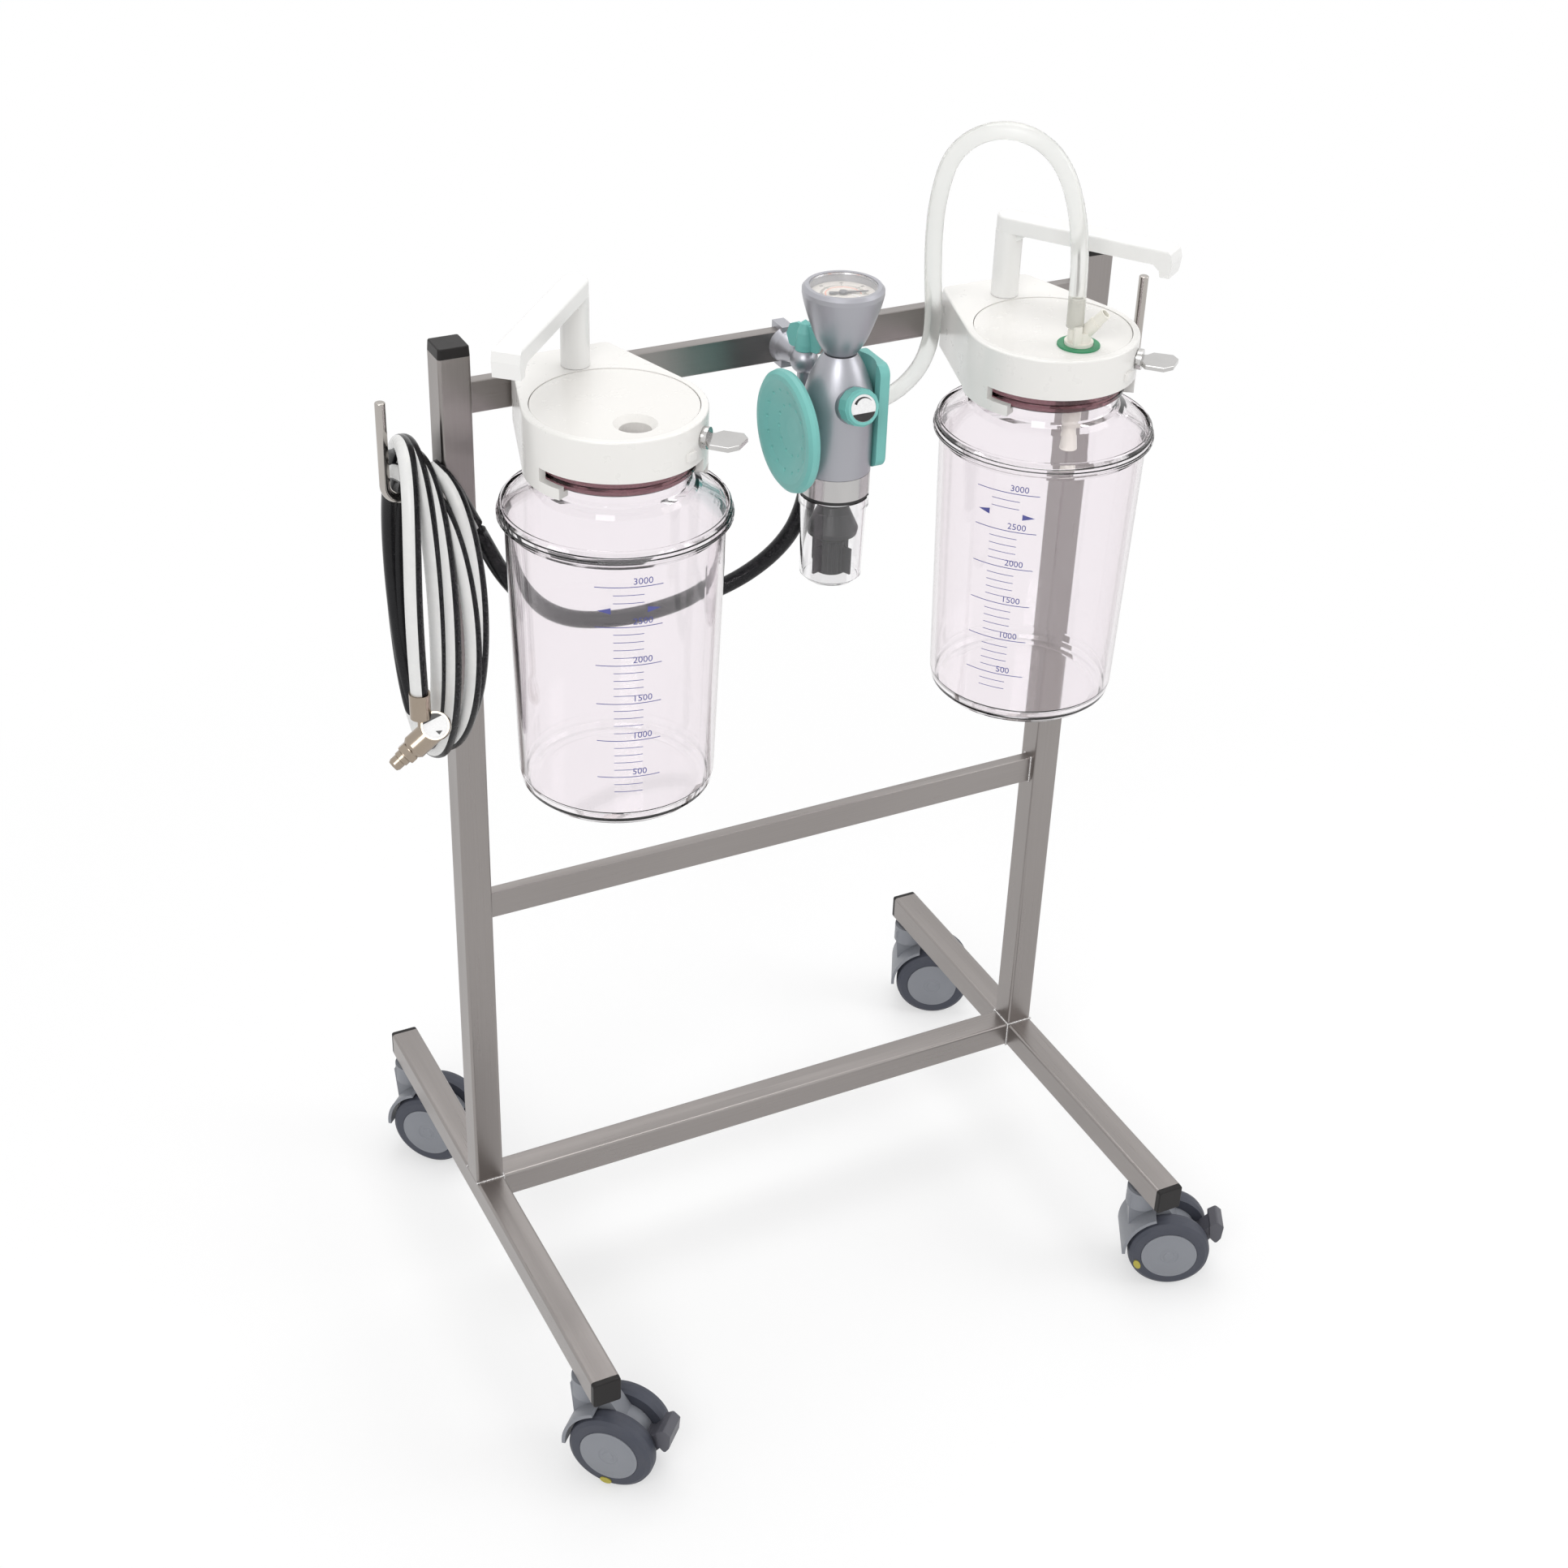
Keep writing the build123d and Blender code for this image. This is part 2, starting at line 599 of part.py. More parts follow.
def gauge_housing():
    base = neck_z + gauge_gap
    profile = make_face(
        Line((3.0, base), (gauge_neck_r - 0.4, base))
        + Spline((gauge_neck_r - 0.4, base), (19.6, base + 12), (24.6, base + 25), (28.2, base + 36), (gauge_r, gauge_top - 6))
        + Line((gauge_r, gauge_top - 6), (gauge_r, gauge_top - 2.5))
        + Line((gauge_r, gauge_top - 2.5), (gauge_r - 2.2, gauge_top))
        + Line((gauge_r - 2.2, gauge_top), (lens_r, gauge_top)) + Line((lens_r, gauge_top), (lens_r, gauge_top - 3))
        + Line((lens_r, gauge_top - 3), (lens_r - 0.6, gauge_top - 3))
        + Line((lens_r - 0.6, gauge_top - 3), (lens_r - 0.6, dial_z - 1.2))
        + Line((lens_r - 0.6, dial_z - 1.2), (3.0, dial_z - 1.2)) + Line((3.0, dial_z - 1.2), (3.0, base))
    )
    return revolve(Plane.XZ * profile, Axis.Z) + cylinder_z(3.0, neck_z - 5.5, dial_z - 1.2)


def gauge_dial():
    return cylinder_z(lens_r - 0.7, dial_z - 1.1, dial_z) - cylinder_z(needle_pin_r + 0.05, dial_z - 2, dial_z + 1)


def gauge_needle():
    shape = make_face(Polyline((-10, -2.2), (-11, 0), (-10, 2.2), (-3, 1.1), (3, 1.6), (19, 0.4), (19, -0.4), (3, -1.6), (-3, -1.1), close=True))
    blade = extrude(Plane.XY.offset(dial_z + 1.0) * shape, 0.6)
    boss = cylinder_z(3.2, dial_z + 0.7, dial_z + 2.2)
    return turned(blade + boss + cylinder_z(needle_pin_r, dial_z - 1.0, dial_z + 1), -14)


def gauge_lens():
    return cylinder_z(lens_r - 0.1, gauge_top - 2.9, gauge_top - 0.9)


def hand_wheel():
    profile = make_face(
        Polyline(
            (0, 0), (10.2, 0), (10.8, 3), (15, 6), (wheel_disc_r - 15, 8.5), (wheel_disc_r - 5, 8.5), (wheel_disc_r - 1.5, 10.5),
            (wheel_disc_r, 13.5), (wheel_disc_r - 0.8, 16.8), (wheel_disc_r - 3.5, 19), (wheel_disc_r - 7.5, 19.2),
            (wheel_disc_r - 12, 17.6), (dimple_rows[0][0], dimple_rows[0][1]), (dimple_rows[1][0], dimple_rows[1][1]),
            (10, 10.2), (0, 9.8), close=True,
        )
    )
    disc = revolve(Plane.XZ * profile, Axis.Z)
    for radius, height, count, start in dimple_rows:
        for n in range(count):
            x, y = ring_points(radius, start + 360 * n / count)
            disc -= Pos(x, y, height + 0.9) * Sphere(1.7)
    shaft = cylinder_z(wheel_shaft_r, -wheel_shaft_depth, 1)
    return Pos(-body_r - ring_gap, 0, wheel_z) * Rot(0, -90, 0) * (disc + shaft)


def adjust_knob():
    grip = extrude(RegularPolygon(knob_r + 0.4, knob_flats), knob_length - 2.5)
    rim = Pos(0, 0, knob_length - 2.5) * extrude(Circle(knob_r - 0.3), 2.5, taper=25)
    label_recess = Pos(0, 0, knob_length - 0.5) * extrude(Circle(knob_r - 3.6), 1)
    shaft = Pos(0, 0, -5) * Cylinder(knob_shaft_r, 12)
    plane = Plane(origin=(0, 0, knob_z) + Vector(*knob_dir) * (knob_front - knob_length), z_dir=knob_dir)
    return plane.location * (grip + rim - label_recess + shaft)


def side_cover():
    low, high = body_bottom + cover_inset, neck_z - cover_drop
    profile = Plane.YZ.offset(body_r - 3) * RectangleRounded(cover_width, high - low, 9)
    plate = Pos(0, 2, (low + high) / 2) * extrude(profile, cover_thickness + 3)
    plate = fillet(plate.faces().sort_by(Axis.X)[-1].edges(), 2)
    return plate - cylinder_z(body_r, low - 1, high + 1) - tube_along(tube_port, tube_dir, 60, 8)


def trim_ring():
    return cylinder_z(body_r, ring_bottom, ring_top) - cylinder_z(6.0, ring_bottom - 1, ring_bottom + 8)


def bottle_seal():
    return cylinder_z(body_r - 0.6, seal_ring_bottom, ring_bottom) - cylinder_z(20, seal_ring_bottom - 1, ring_bottom + 1)


def bottle():
    inner_top, inner_low = bottle_top_r - bottle_wall, bottle_bottom_r - bottle_wall
    return revolved(
        [
            (0, bottle_bottom), (bottle_bottom_r - 3, bottle_bottom), (bottle_bottom_r, bottle_bottom + 3),
            (bottle_top_r - 0.6, bottle_top - 9), (body_r, bottle_top - 8), (body_r, bottle_top),
            (inner_top - 1.5, bottle_top), (inner_top - 1.5, bottle_top - 8), (inner_low, bottle_bottom + bottle_wall + 1),
            (inner_low - 1, bottle_bottom + bottle_wall), (0, bottle_bottom + bottle_wall),
        ]
    )


def silencer():
    cone = revolved([(0, 779), (8, 779), (11, 777), (silencer_r, 757.5), (silencer_r - 1, 753), (silencer_core_r - 1, 748), (0, 748)])
    stem = cylinder_z(5.8, 778, ring_bottom + 7.5)
    core = cylinder_z(silencer_core_r - 0.6, 720, 749)
    for n in range(24):
        x, y = ring_points(silencer_core_r - 0.6, n * 15)
        core += cylinder_z(0.7, 721, 748.5, x, y)
    fins = [turned(block(silencer_core_r - 2, silencer_r - 0.3, -0.8, 0.8, 722, 744), 20 + 90 * n) for n in range(4)]
    return cone + stem + core + fins


def rail_clamp():
    cone = revolve(
        Plane.XY * make_face(Polyline((0, 0), (clamp_cone_r, 0), (clamp_cone_r - 2.5, -6), (clamp_ball_r - 3, -21), (clamp_ball_r - 3.5, clamp_y + 4), (0, clamp_y + 4), close=True)),
        Axis.Y,
    )
    arm = Pos(0, -bar_depth / 2, clamp_z) * cone
    ball = Pos(0, clamp_y, clamp_z) * Sphere(clamp_ball_r) - cylinder_z(wing_r + 1, clamp_z + 8.2, clamp_z + 20, 0, clamp_y)
    leg = cylinder_z(clamp_leg_r, port_block_bottom, clamp_z - 5, 0, clamp_y)
    bridge = block(-clamp_leg_r, clamp_leg_r, regulator_y + port_block_back, clamp_y, port_block_bottom + 4, port_block_top - 4)
    rail_top = rail_bottom + bar_height
    half = 5.0
    jaw = block(-half, half, -bar_depth / 2 - 4, bar_depth / 2 + 4, rail_bottom - 4, rail_top + 4)
    jaw -= block(-half - 1, half + 1, -bar_depth / 2, bar_depth / 2, rail_bottom, rail_top)
    body = Pos(clamp_x, 0, 0) * (arm + ball + leg + bridge + jaw)
    body -= block(-50, 50, -bar_depth / 2, bar_depth / 2, rail_bottom, rail_top)
    return body - cylinder_z(wing_stud_r + shaft_clearance, clamp_z, clamp_z + 20, clamp_x, clamp_y)


def wing_screw():
    low = clamp_z + 8.2 + seat_gap
    dome = revolved(
        [(0, low), (wing_r, low), (wing_r, low + 5), (wing_r - 1.2, low + 14), (wing_r - 3.5, low + wing_height - 3), (0, low + wing_height)]
    )
    wing_face = make_face(
        Polyline(
            (0, low + 3), (wing_r + 3, low - 1), (wing_span - 3, low + 1), (wing_span, low + 9), (wing_span - 3, low + 17),
            (wing_r, low + 20), (0, low + 19), close=True,
        )
    )
    one = extrude(Plane.XZ.offset(-1.4) * wing_face, 2.8)
    wings = one + Rot(0, 0, 180) * one
    body = dome + turned(wings, wing_heading) - cylinder_z(clamp_ball_r + 9, low - 4, low)
    return Pos(clamp_x, clamp_y, 0) * (body + cylinder_z(wing_stud_r, low - 8, low + 1))


# Free hose and tube

hose_route = [
    (-2.5, -49.45, 790.0), (-3.4, -49.1, 764), (-17, -42, 724), (-51, -26, 689), (-102, -17, 674), (-157, -16, 673),
    (-207, -19, 688), (-244, -24, 726), (-267, -26, 776), (-287, -26, 820),
]
tube_route = [
    (27.44, -58.16, 833.0), (54, -45.1, 833), (77.5, -42, 839), (94, -44, 855.5), (100, -48, 879), (98, -52, 906),
    (91, -58, 945), (84, -68, 985), (82, -77, 1014), (86.5, -81.4, 1038), (100, -92.6, 1055.6), (118.5, -108, 1062),
    (137, -123.4, 1055.6), (150.5, -134.6, 1038), (158.5, -141.5, 1012), (164, -144, 980),
    (165.3, -145, 949), (165.5, -145, 918),
]


def cord(name, route, radius):
    points = [Vector(*p) for p in route]
    radii = []
    for before, here, after in zip(points, points[1:], points[2:]):
        turn = (here - before).get_angle(after - here)
        run = min((here - before).length, (after - here).length)
        radii.append(0.45 * run / math.tan(math.radians(turn / 2)))
    path = FilletPolyline(*points, radius=radii)
    section = Plane(origin=points[0], z_dir=points[1] - points[0]) * Circle(radius)
    body = sweep(section, path=path)
    wanted = math.pi * radius ** 2 * path.length
    print(name, "radii", [round(r) for r in radii], "length", round(path.length), "volume ratio", round(body.volume / wanted, 4))
    return body


def hose_coil():
    outer = Pos(coil_y, (coil_top + coil_bottom) / 2) * RectangleRounded(coil_width, coil_top - coil_bottom, coil_width / 2 - 1)
    inner_width = coil_width - 2 * coil_band
    inner = Pos(coil_y, (coil_top + coil_bottom) / 2) * RectangleRounded(
        inner_width, coil_top - coil_bottom - 2 * coil_band, inner_width / 2 - 1
    )
    ring = extrude(Plane.YZ.offset(coil_x - coil_thickness / 2) * (outer - inner), coil_thickness)
    return chamfer(ring.edges(), 6)


def hose_probe():
    drop = Vector(-333, -68, 676)
    down, nose, front = Vector(0, 0, -1), Vector(-0.807, 0, -0.59), Vector(-0.39, -0.742, 0.545)
    middle = Vector(-320.7, -69, 644.5)
    ferrule = tube_along(drop, down, 21, hose_ferrule_r) + tube_along(drop + down * 20, down, 11, 2.7)
    outline = make_face(
        Polyline(
            (0, 0), (8.8, 0), (9.8, 1), (9.8, 27), (7.6, 30), (7.6, 36), (6.2, 36.6), (6.2, 40.5), (5.4, 41), (5.4, 46),
            (4.4, 48), (2.6, 48), (2.6, 38), (0, 38), close=True,
        )
    )
    barrel = revolve(Plane.XZ * outline, Axis.Z) + Pos(0, 0, 30.5) * extrude(RegularPolygon(8.8, 6), 5)
    label = tube_along(middle, front, 12, probe_disc_r) - tube_along(middle + front * 11.3, front, 2, probe_disc_r - 1.2)
    return ferrule + Plane(origin=middle - nose * 3, z_dir=nose) * barrel + label


def build():
    save("left_upright", upright(-1))
    save("right_upright", upright(1))
    save("left_foot", foot(-1))
    save("right_foot", foot(1))
    save("cross_beam", Pos(-upright_x + half_tube, 0, foot_bottom + half_tube) * tube(upright_gap, (1, 0, 0)))
    save("middle_bar", flat_bar(middle_bar_bottom))
    save("equipment_rail", flat_bar(rail_bottom))
    save("upright_caps", *[Pos(side * upright_x, 0, upright_top) * tube_cap(cap_height) for side in (-1, 1)])
    ends = [(side, y, out) for side in (-1, 1) for y, out in ((foot_front, -1), (foot_back, 1))]
    save("foot_caps", *[foot_end_cap(*end) for end in ends])
    save("left_hook", hook(-1))
    save("right_hook", hook(1))

    casters = {
        "front_left": (-upright_x, front_stem_y, -45), "front_right": (upright_x, front_stem_y, -29),
        "rear_left": (-upright_x, rear_stem_y, -45), "rear_right": (upright_x, rear_stem_y, -30),
    }
    save("caster_stems", *[Pos(x, y, 0) * caster_stem() for x, y, heading in casters.values()])
    for name, (x, y, heading) in casters.items():
        place = Pos(x, y, 0) * Rot(0, 0, heading)
        save(f"{name}_caster_housing", place * caster_housing())
        save(f"{name}_near_wheel", place * caster_wheel(1))
        save(f"{name}_far_wheel", place * caster_wheel(-1))
        if name.startswith("front"):
            save(f"{name}_brake_pedal", place * brake_pedal())

    for name, x, heading in (("left", jar_left_x, handle_left_heading), ("right", jar_right_x, handle_right_heading)):
        place = Pos(x, jar_axis_y, 0)
        save(f"{name}_jar", place * jar())
        save(f"{name}_neck_collar", place * neck_collar())
        save(f"{name}_jar_head", place * head())
        save(f"{name}_lid", place * lid())
        save(f"{name}_handle", place * Pos(0, post_y, 0) * handle(heading))
        save(f"{name}_lock_lever", place * lever())
    right = Pos(jar_right_x, jar_axis_y, 0)
    save("port_seal", right * port_seal())
    save("hose_connector", right * hose_connector())

    place = Pos(regulator_x, regulator_y, 0)
    save("regulator_body", place * regulator_body())
    save("hose_glands", place * hose_gland(), place * tube_gland())
    save("gauge_housing", place * gauge_housing())
    save("gauge_dial", place * gauge_dial())
    save("gauge_needle", place * gauge_needle())
    save("gauge_lens", place * gauge_lens())
    save("hand_wheel", place * hand_wheel())
    save("adjust_knob", place * adjust_knob())
    save("side_cover", place * side_cover())
    save("trim_ring", place * trim_ring())
    save("bottle_seal", place * bottle_seal())
    save("silencer_bottle", place * bottle())
    save("silencer", place * silencer())
    save("rail_clamp", rail_clamp())
    save("clamp_wing_screw", wing_screw())

    save("hose_lead", cord("hose_lead", hose_route, hose_r))
    save("hose_coil", hose_coil())
    save("hose_probe", hose_probe())
    save("silicone_tube", cord("silicone_tube", tube_route, silicone_r))


os.makedirs("parts", exist_ok=True)
build()
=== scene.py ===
import bpy
import bmesh
import math
from mathutils import Matrix, Vector


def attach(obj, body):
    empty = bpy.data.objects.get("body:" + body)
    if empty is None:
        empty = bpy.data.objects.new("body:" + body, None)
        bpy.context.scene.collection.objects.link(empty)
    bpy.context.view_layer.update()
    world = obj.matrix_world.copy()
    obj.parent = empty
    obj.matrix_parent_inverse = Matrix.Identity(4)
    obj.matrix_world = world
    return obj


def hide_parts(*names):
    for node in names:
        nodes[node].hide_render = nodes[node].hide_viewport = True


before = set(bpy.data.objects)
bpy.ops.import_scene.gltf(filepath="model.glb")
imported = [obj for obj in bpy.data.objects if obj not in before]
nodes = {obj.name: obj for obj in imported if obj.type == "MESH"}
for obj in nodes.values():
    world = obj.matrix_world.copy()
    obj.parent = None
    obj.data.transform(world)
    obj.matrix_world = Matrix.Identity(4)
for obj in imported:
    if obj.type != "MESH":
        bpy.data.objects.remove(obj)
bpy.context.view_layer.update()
scene = bpy.context.scene
drawingShift = Vector((-0.008, 0.033, 0.0))  # where the drawing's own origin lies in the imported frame
print("frame loaded:", len(nodes), "nodes")


def at(x, y, z):
    return Vector((x, y, z)) * 0.001 + drawingShift


# Camera, solved from the photograph's straight edges
cameraSetup = {"place": (-816.547, -1575.704, 1622.722), "azimuth": -27.73, "elevation": 33.061,
               "roll": -2.204, "lens": 56.304, "sensor": 36.0, "clip": (0.05, 30)}


def makeCamera(setup):
    az, el, roll = (math.radians(setup[k]) for k in ("azimuth", "elevation", "roll"))
    back = Vector((math.sin(az) * math.cos(el), -math.cos(az) * math.cos(el), math.sin(el)))
    right = (-back).cross(Vector((0, 0, 1))).normalized()
    down = (-back).cross(right)
    right, down = right * math.cos(roll) + down * math.sin(roll), down * math.cos(roll) - right * math.sin(roll)
    data = bpy.data.cameras.new("stand_camera")
    data.sensor_width, data.sensor_fit, data.lens = setup["sensor"], "HORIZONTAL", setup["lens"]
    data.clip_start, data.clip_end = setup["clip"]
    camera = bpy.data.objects.new("stand_camera", data)
    scene.collection.objects.link(camera)
    turn = Matrix((right, -down, back)).transposed().to_4x4()
    camera.matrix_world = Matrix.Translation(at(*setup["place"])) @ turn
    scene.camera = camera


makeCamera(cameraSetup)
print("camera placed")


# Shader helpers
class Wire:
    def __init__(self, paint, socket):
        self.paint, self.socket = paint, socket

    def calc(self, operation, first, second):
        return self.paint.node("ShaderNodeMath", {"operation": operation}, {0: first, 1: second})

    def __add__(self, other):
        return self.calc("ADD", self, other)

    def __sub__(self, other):
        return self.calc("SUBTRACT", self, other)

    def __mul__(self, other):
        return self.calc("MULTIPLY", self, other)

    def __pow__(self, other):
        return self.calc("POWER", self, other)

    def __gt__(self, other):
        return self.calc("GREATER_THAN", self, other)

    def __lt__(self, other):
        return self.calc("LESS_THAN", self, other)


class Paint:
    def __init__(self, name):
        self.material = bpy.data.materials.new(name)
        self.material.use_nodes = True
        self.tree = self.material.node_tree
        self.tree.nodes.clear()
        self.end = self.tree.nodes.new("ShaderNodeOutputMaterial")

    def node(self, kind, settings=None, sockets=None, out=0):
        made = self.tree.nodes.new(kind)
        for key, value in (settings or {}).items():
            if key == "stops":
                ramp = made.color_ramp
                while len(ramp.elements) < len(value):
                    ramp.elements.new(0.5)
                for element, (place, colour) in zip(ramp.elements, value):
                    element.position, element.color = place, (*colour, 1)
            else:
                setattr(made, key, value)
        for key, value in (sockets or {}).items():
            if isinstance(value, Wire):
                self.tree.links.new(value.socket, made.inputs[key])
            else:
                made.inputs[key].default_value = value
        return Wire(self, made.outputs[out])

    def place(self, scale=(1, 1, 1)):
        spot = self.node("ShaderNodeTexCoord", out=3)  # object coordinates
        return self.node("ShaderNodeMapping", {}, {"Vector": spot, "Scale": scale})

    def noise(self, scale, detail=3.0, stretch=(1, 1, 1), rough=0.5):
        return self.node("ShaderNodeTexNoise", {}, {
            "Vector": self.place(stretch), "Scale": scale, "Detail": detail, "Roughness": rough})

    def blend(self, factor, a, b):
        a, b = ((*c, 1) if isinstance(c, tuple) and len(c) == 3 else c for c in (a, b))
        return self.node("ShaderNodeMix", {"data_type": "RGBA"}, {0: factor, 6: a, 7: b}, out=2)

    def bump(self, height, strength, distance):
        return self.node("ShaderNodeBump", {}, {"Height": height, "Strength": strength, "Distance": distance})

    def surface(self, sockets):
        sockets = {k: (*v, 1) if isinstance(v, tuple) and len(v) == 3 and "Color" in k else v
                   for k, v in sockets.items()}
        return self.node("ShaderNodeBsdfPrincipled", {}, sockets)

    def finish(self, shader):
        self.tree.links.new(shader.socket, self.end.inputs[0])
        return self.material


def remap(wire, low, high):
    return wire * (high - low) + low


# Finishes
steelFinish = {"base": (0.36, 0.335, 0.325), "dark": (0.26, 0.24, 0.23), "rough": 0.28,
               "brush": 900.0, "stretch": 0.012, "smear": 0.25}


def brushedSteel(name, axis, finish):
    paint = Paint(name)
    stretch = [1.0, 1.0, 1.0]
    stretch[axis] = finish["stretch"]
    grain = paint.noise(finish["brush"], 4, tuple(stretch), 0.65)
    cloud = paint.noise(6.0, 2, (1, 1, 1))
    smear = paint.noise(38.0, 3, tuple(finish["smear"] if n == axis else 1.0 for n in range(3)))
    colour = paint.blend(remap(grain, 0.1, 0.9) * 0.6 + cloud * 0.4, finish["dark"], finish["base"])
    rough = remap(grain, finish["rough"] - 0.06, finish["rough"] + 0.12) + (smear - 0.5) * 0.12
    return paint.finish(paint.surface({
        "Base Color": colour, "Metallic": 1.0, "Roughness": rough,
        "Anisotropic": 0.35, "Normal": paint.bump(grain, 0.12, 0.0004),
    }))


def polishedMetal(name, base, rough=0.12):
    paint = Paint(name)
    tone = 0.06
    wipe = paint.noise(55.0, 4, (1, 1, 0.3))
    fleck = paint.noise(900.0, 2)
    return paint.finish(paint.surface({
        "Base Color": paint.blend(wipe, base, tuple(c * (1 - tone * 3) for c in base)), "Metallic": 1.0,
        "Roughness": remap(wipe, rough - tone, rough + tone * 1.6), "Normal": paint.bump(fleck, 0.04, 0.0002),
    }))


def mouldedPlastic(name, base, shade, rough=0.35, grain=1400.0, depth=0.05, coat=0.0, shine=0.5):
    paint = Paint(name)
    cloud = paint.noise(9.0, 3)
    fine = paint.noise(grain, 3)
    handling = paint.noise(60.0, 4, (1, 1, 1), 0.6)
    return paint.finish(paint.surface({
        "Base Color": paint.blend(cloud * 0.7 + handling * 0.3, base, shade),
        "Roughness": remap(handling, rough - 0.07, rough + 0.1), "Coat Weight": coat, "Coat Roughness": 0.15,
        "IOR": 1.5, "Specular IOR Level": shine, "Normal": paint.bump(fine, depth, 0.0003),
    }))


def silverPaint(name, base, shade):
    paint = Paint(name)
    flake = paint.noise(2600.0, 2)
    cloud = paint.noise(14.0, 3)
    return paint.finish(paint.surface({
        "Base Color": paint.blend(flake * 0.5 + cloud * 0.5, shade, base), "Metallic": 0.75,
        "Roughness": remap(flake, 0.30, 0.46),
        "Coat Weight": 0.25, "Coat Roughness": 0.25, "Normal": paint.bump(flake, 0.10, 0.0002),
    }))


def clearPlastic(name, tint, rough, edge, edgeMix):
    paint = Paint(name)
    facing = paint.node("ShaderNodeLayerWeight", {}, {"Blend": 0.35}, out=1)
    smudge = paint.noise(30.0, 4)
    colour = paint.blend((facing ** 3.0) * edgeMix, tint, edge)
    body = paint.surface({
        "Base Color": colour, "Roughness": remap(smudge, rough * 0.6, rough * 1.8), "IOR": 1.49,
        "Transmission Weight": 1.0,
    })
    clear = paint.node("ShaderNodeBsdfTransparent", {}, {"Color": (*[0.6 + 0.4 * c for c in tint], 1)})
    shadow = paint.node("ShaderNodeLightPath", out=1)
    return paint.finish(paint.node("ShaderNodeMixShader", {}, {0: shadow, 1: body, 2: clear}))


def flatInk(name, base, rough):
    paint = Paint(name)
    wear = paint.noise(700.0, 3)
    return paint.finish(paint.surface({
        "Base Color": paint.blend(wear, base, tuple(min(1.0, c * 1.25 + 0.01) for c in base)),
        "Roughness": remap(wear, rough - 0.08, rough + 0.08),
    }))


def tyreRubber(name):
    paint = Paint(name)
    dust = paint.noise(45.0, 5, (1, 1, 1), 0.65)
    fine = paint.noise(1500.0, 3)
    return paint.finish(paint.surface({
        "Base Color": paint.blend(dust, (0.045, 0.052, 0.074), (0.078, 0.080, 0.096)),
        "Roughness": remap(dust, 0.42, 0.66), "Specular IOR Level": 0.3, "Normal": paint.bump(fine, 0.12, 0.0003),
    }))


hoseStripe = (0.365, 0.635)  # share of the way round that is white


def twoToneHose(name):
    paint = Paint(name)
    spot = paint.node("ShaderNodeUVMap", {"uv_map": "around"})
    apart = paint.node("ShaderNodeSeparateXYZ", {}, {0: spot})
    white = (apart > hoseStripe[0]) * (apart < hoseStripe[1])
    scuff = paint.noise(160.0, 4, (1, 1, 1), 0.65)
    pale = paint.blend(scuff, (0.80, 0.80, 0.78), (0.66, 0.66, 0.66))
    dark = paint.blend(scuff, (0.006, 0.006, 0.007), (0.016, 0.016, 0.018))
    return paint.finish(paint.surface({
        "Base Color": paint.blend(white, dark, pale), "Roughness": remap(scuff, 0.20, 0.34),
        "Specular IOR Level": 0.22, "Normal": paint.bump(scuff, 0.06, 0.0004),
    }))


def siliconeRubber(name):
    paint = Paint(name)
    cloud = paint.noise(40.0, 3)
    return paint.finish(paint.surface({
        "Base Color": paint.blend(cloud, (0.93, 0.93, 0.91), (0.88, 0.885, 0.865)),
        "Roughness": remap(cloud, 0.18, 0.30), "IOR": 1.41, "Transmission Weight": 0.82,
    }))


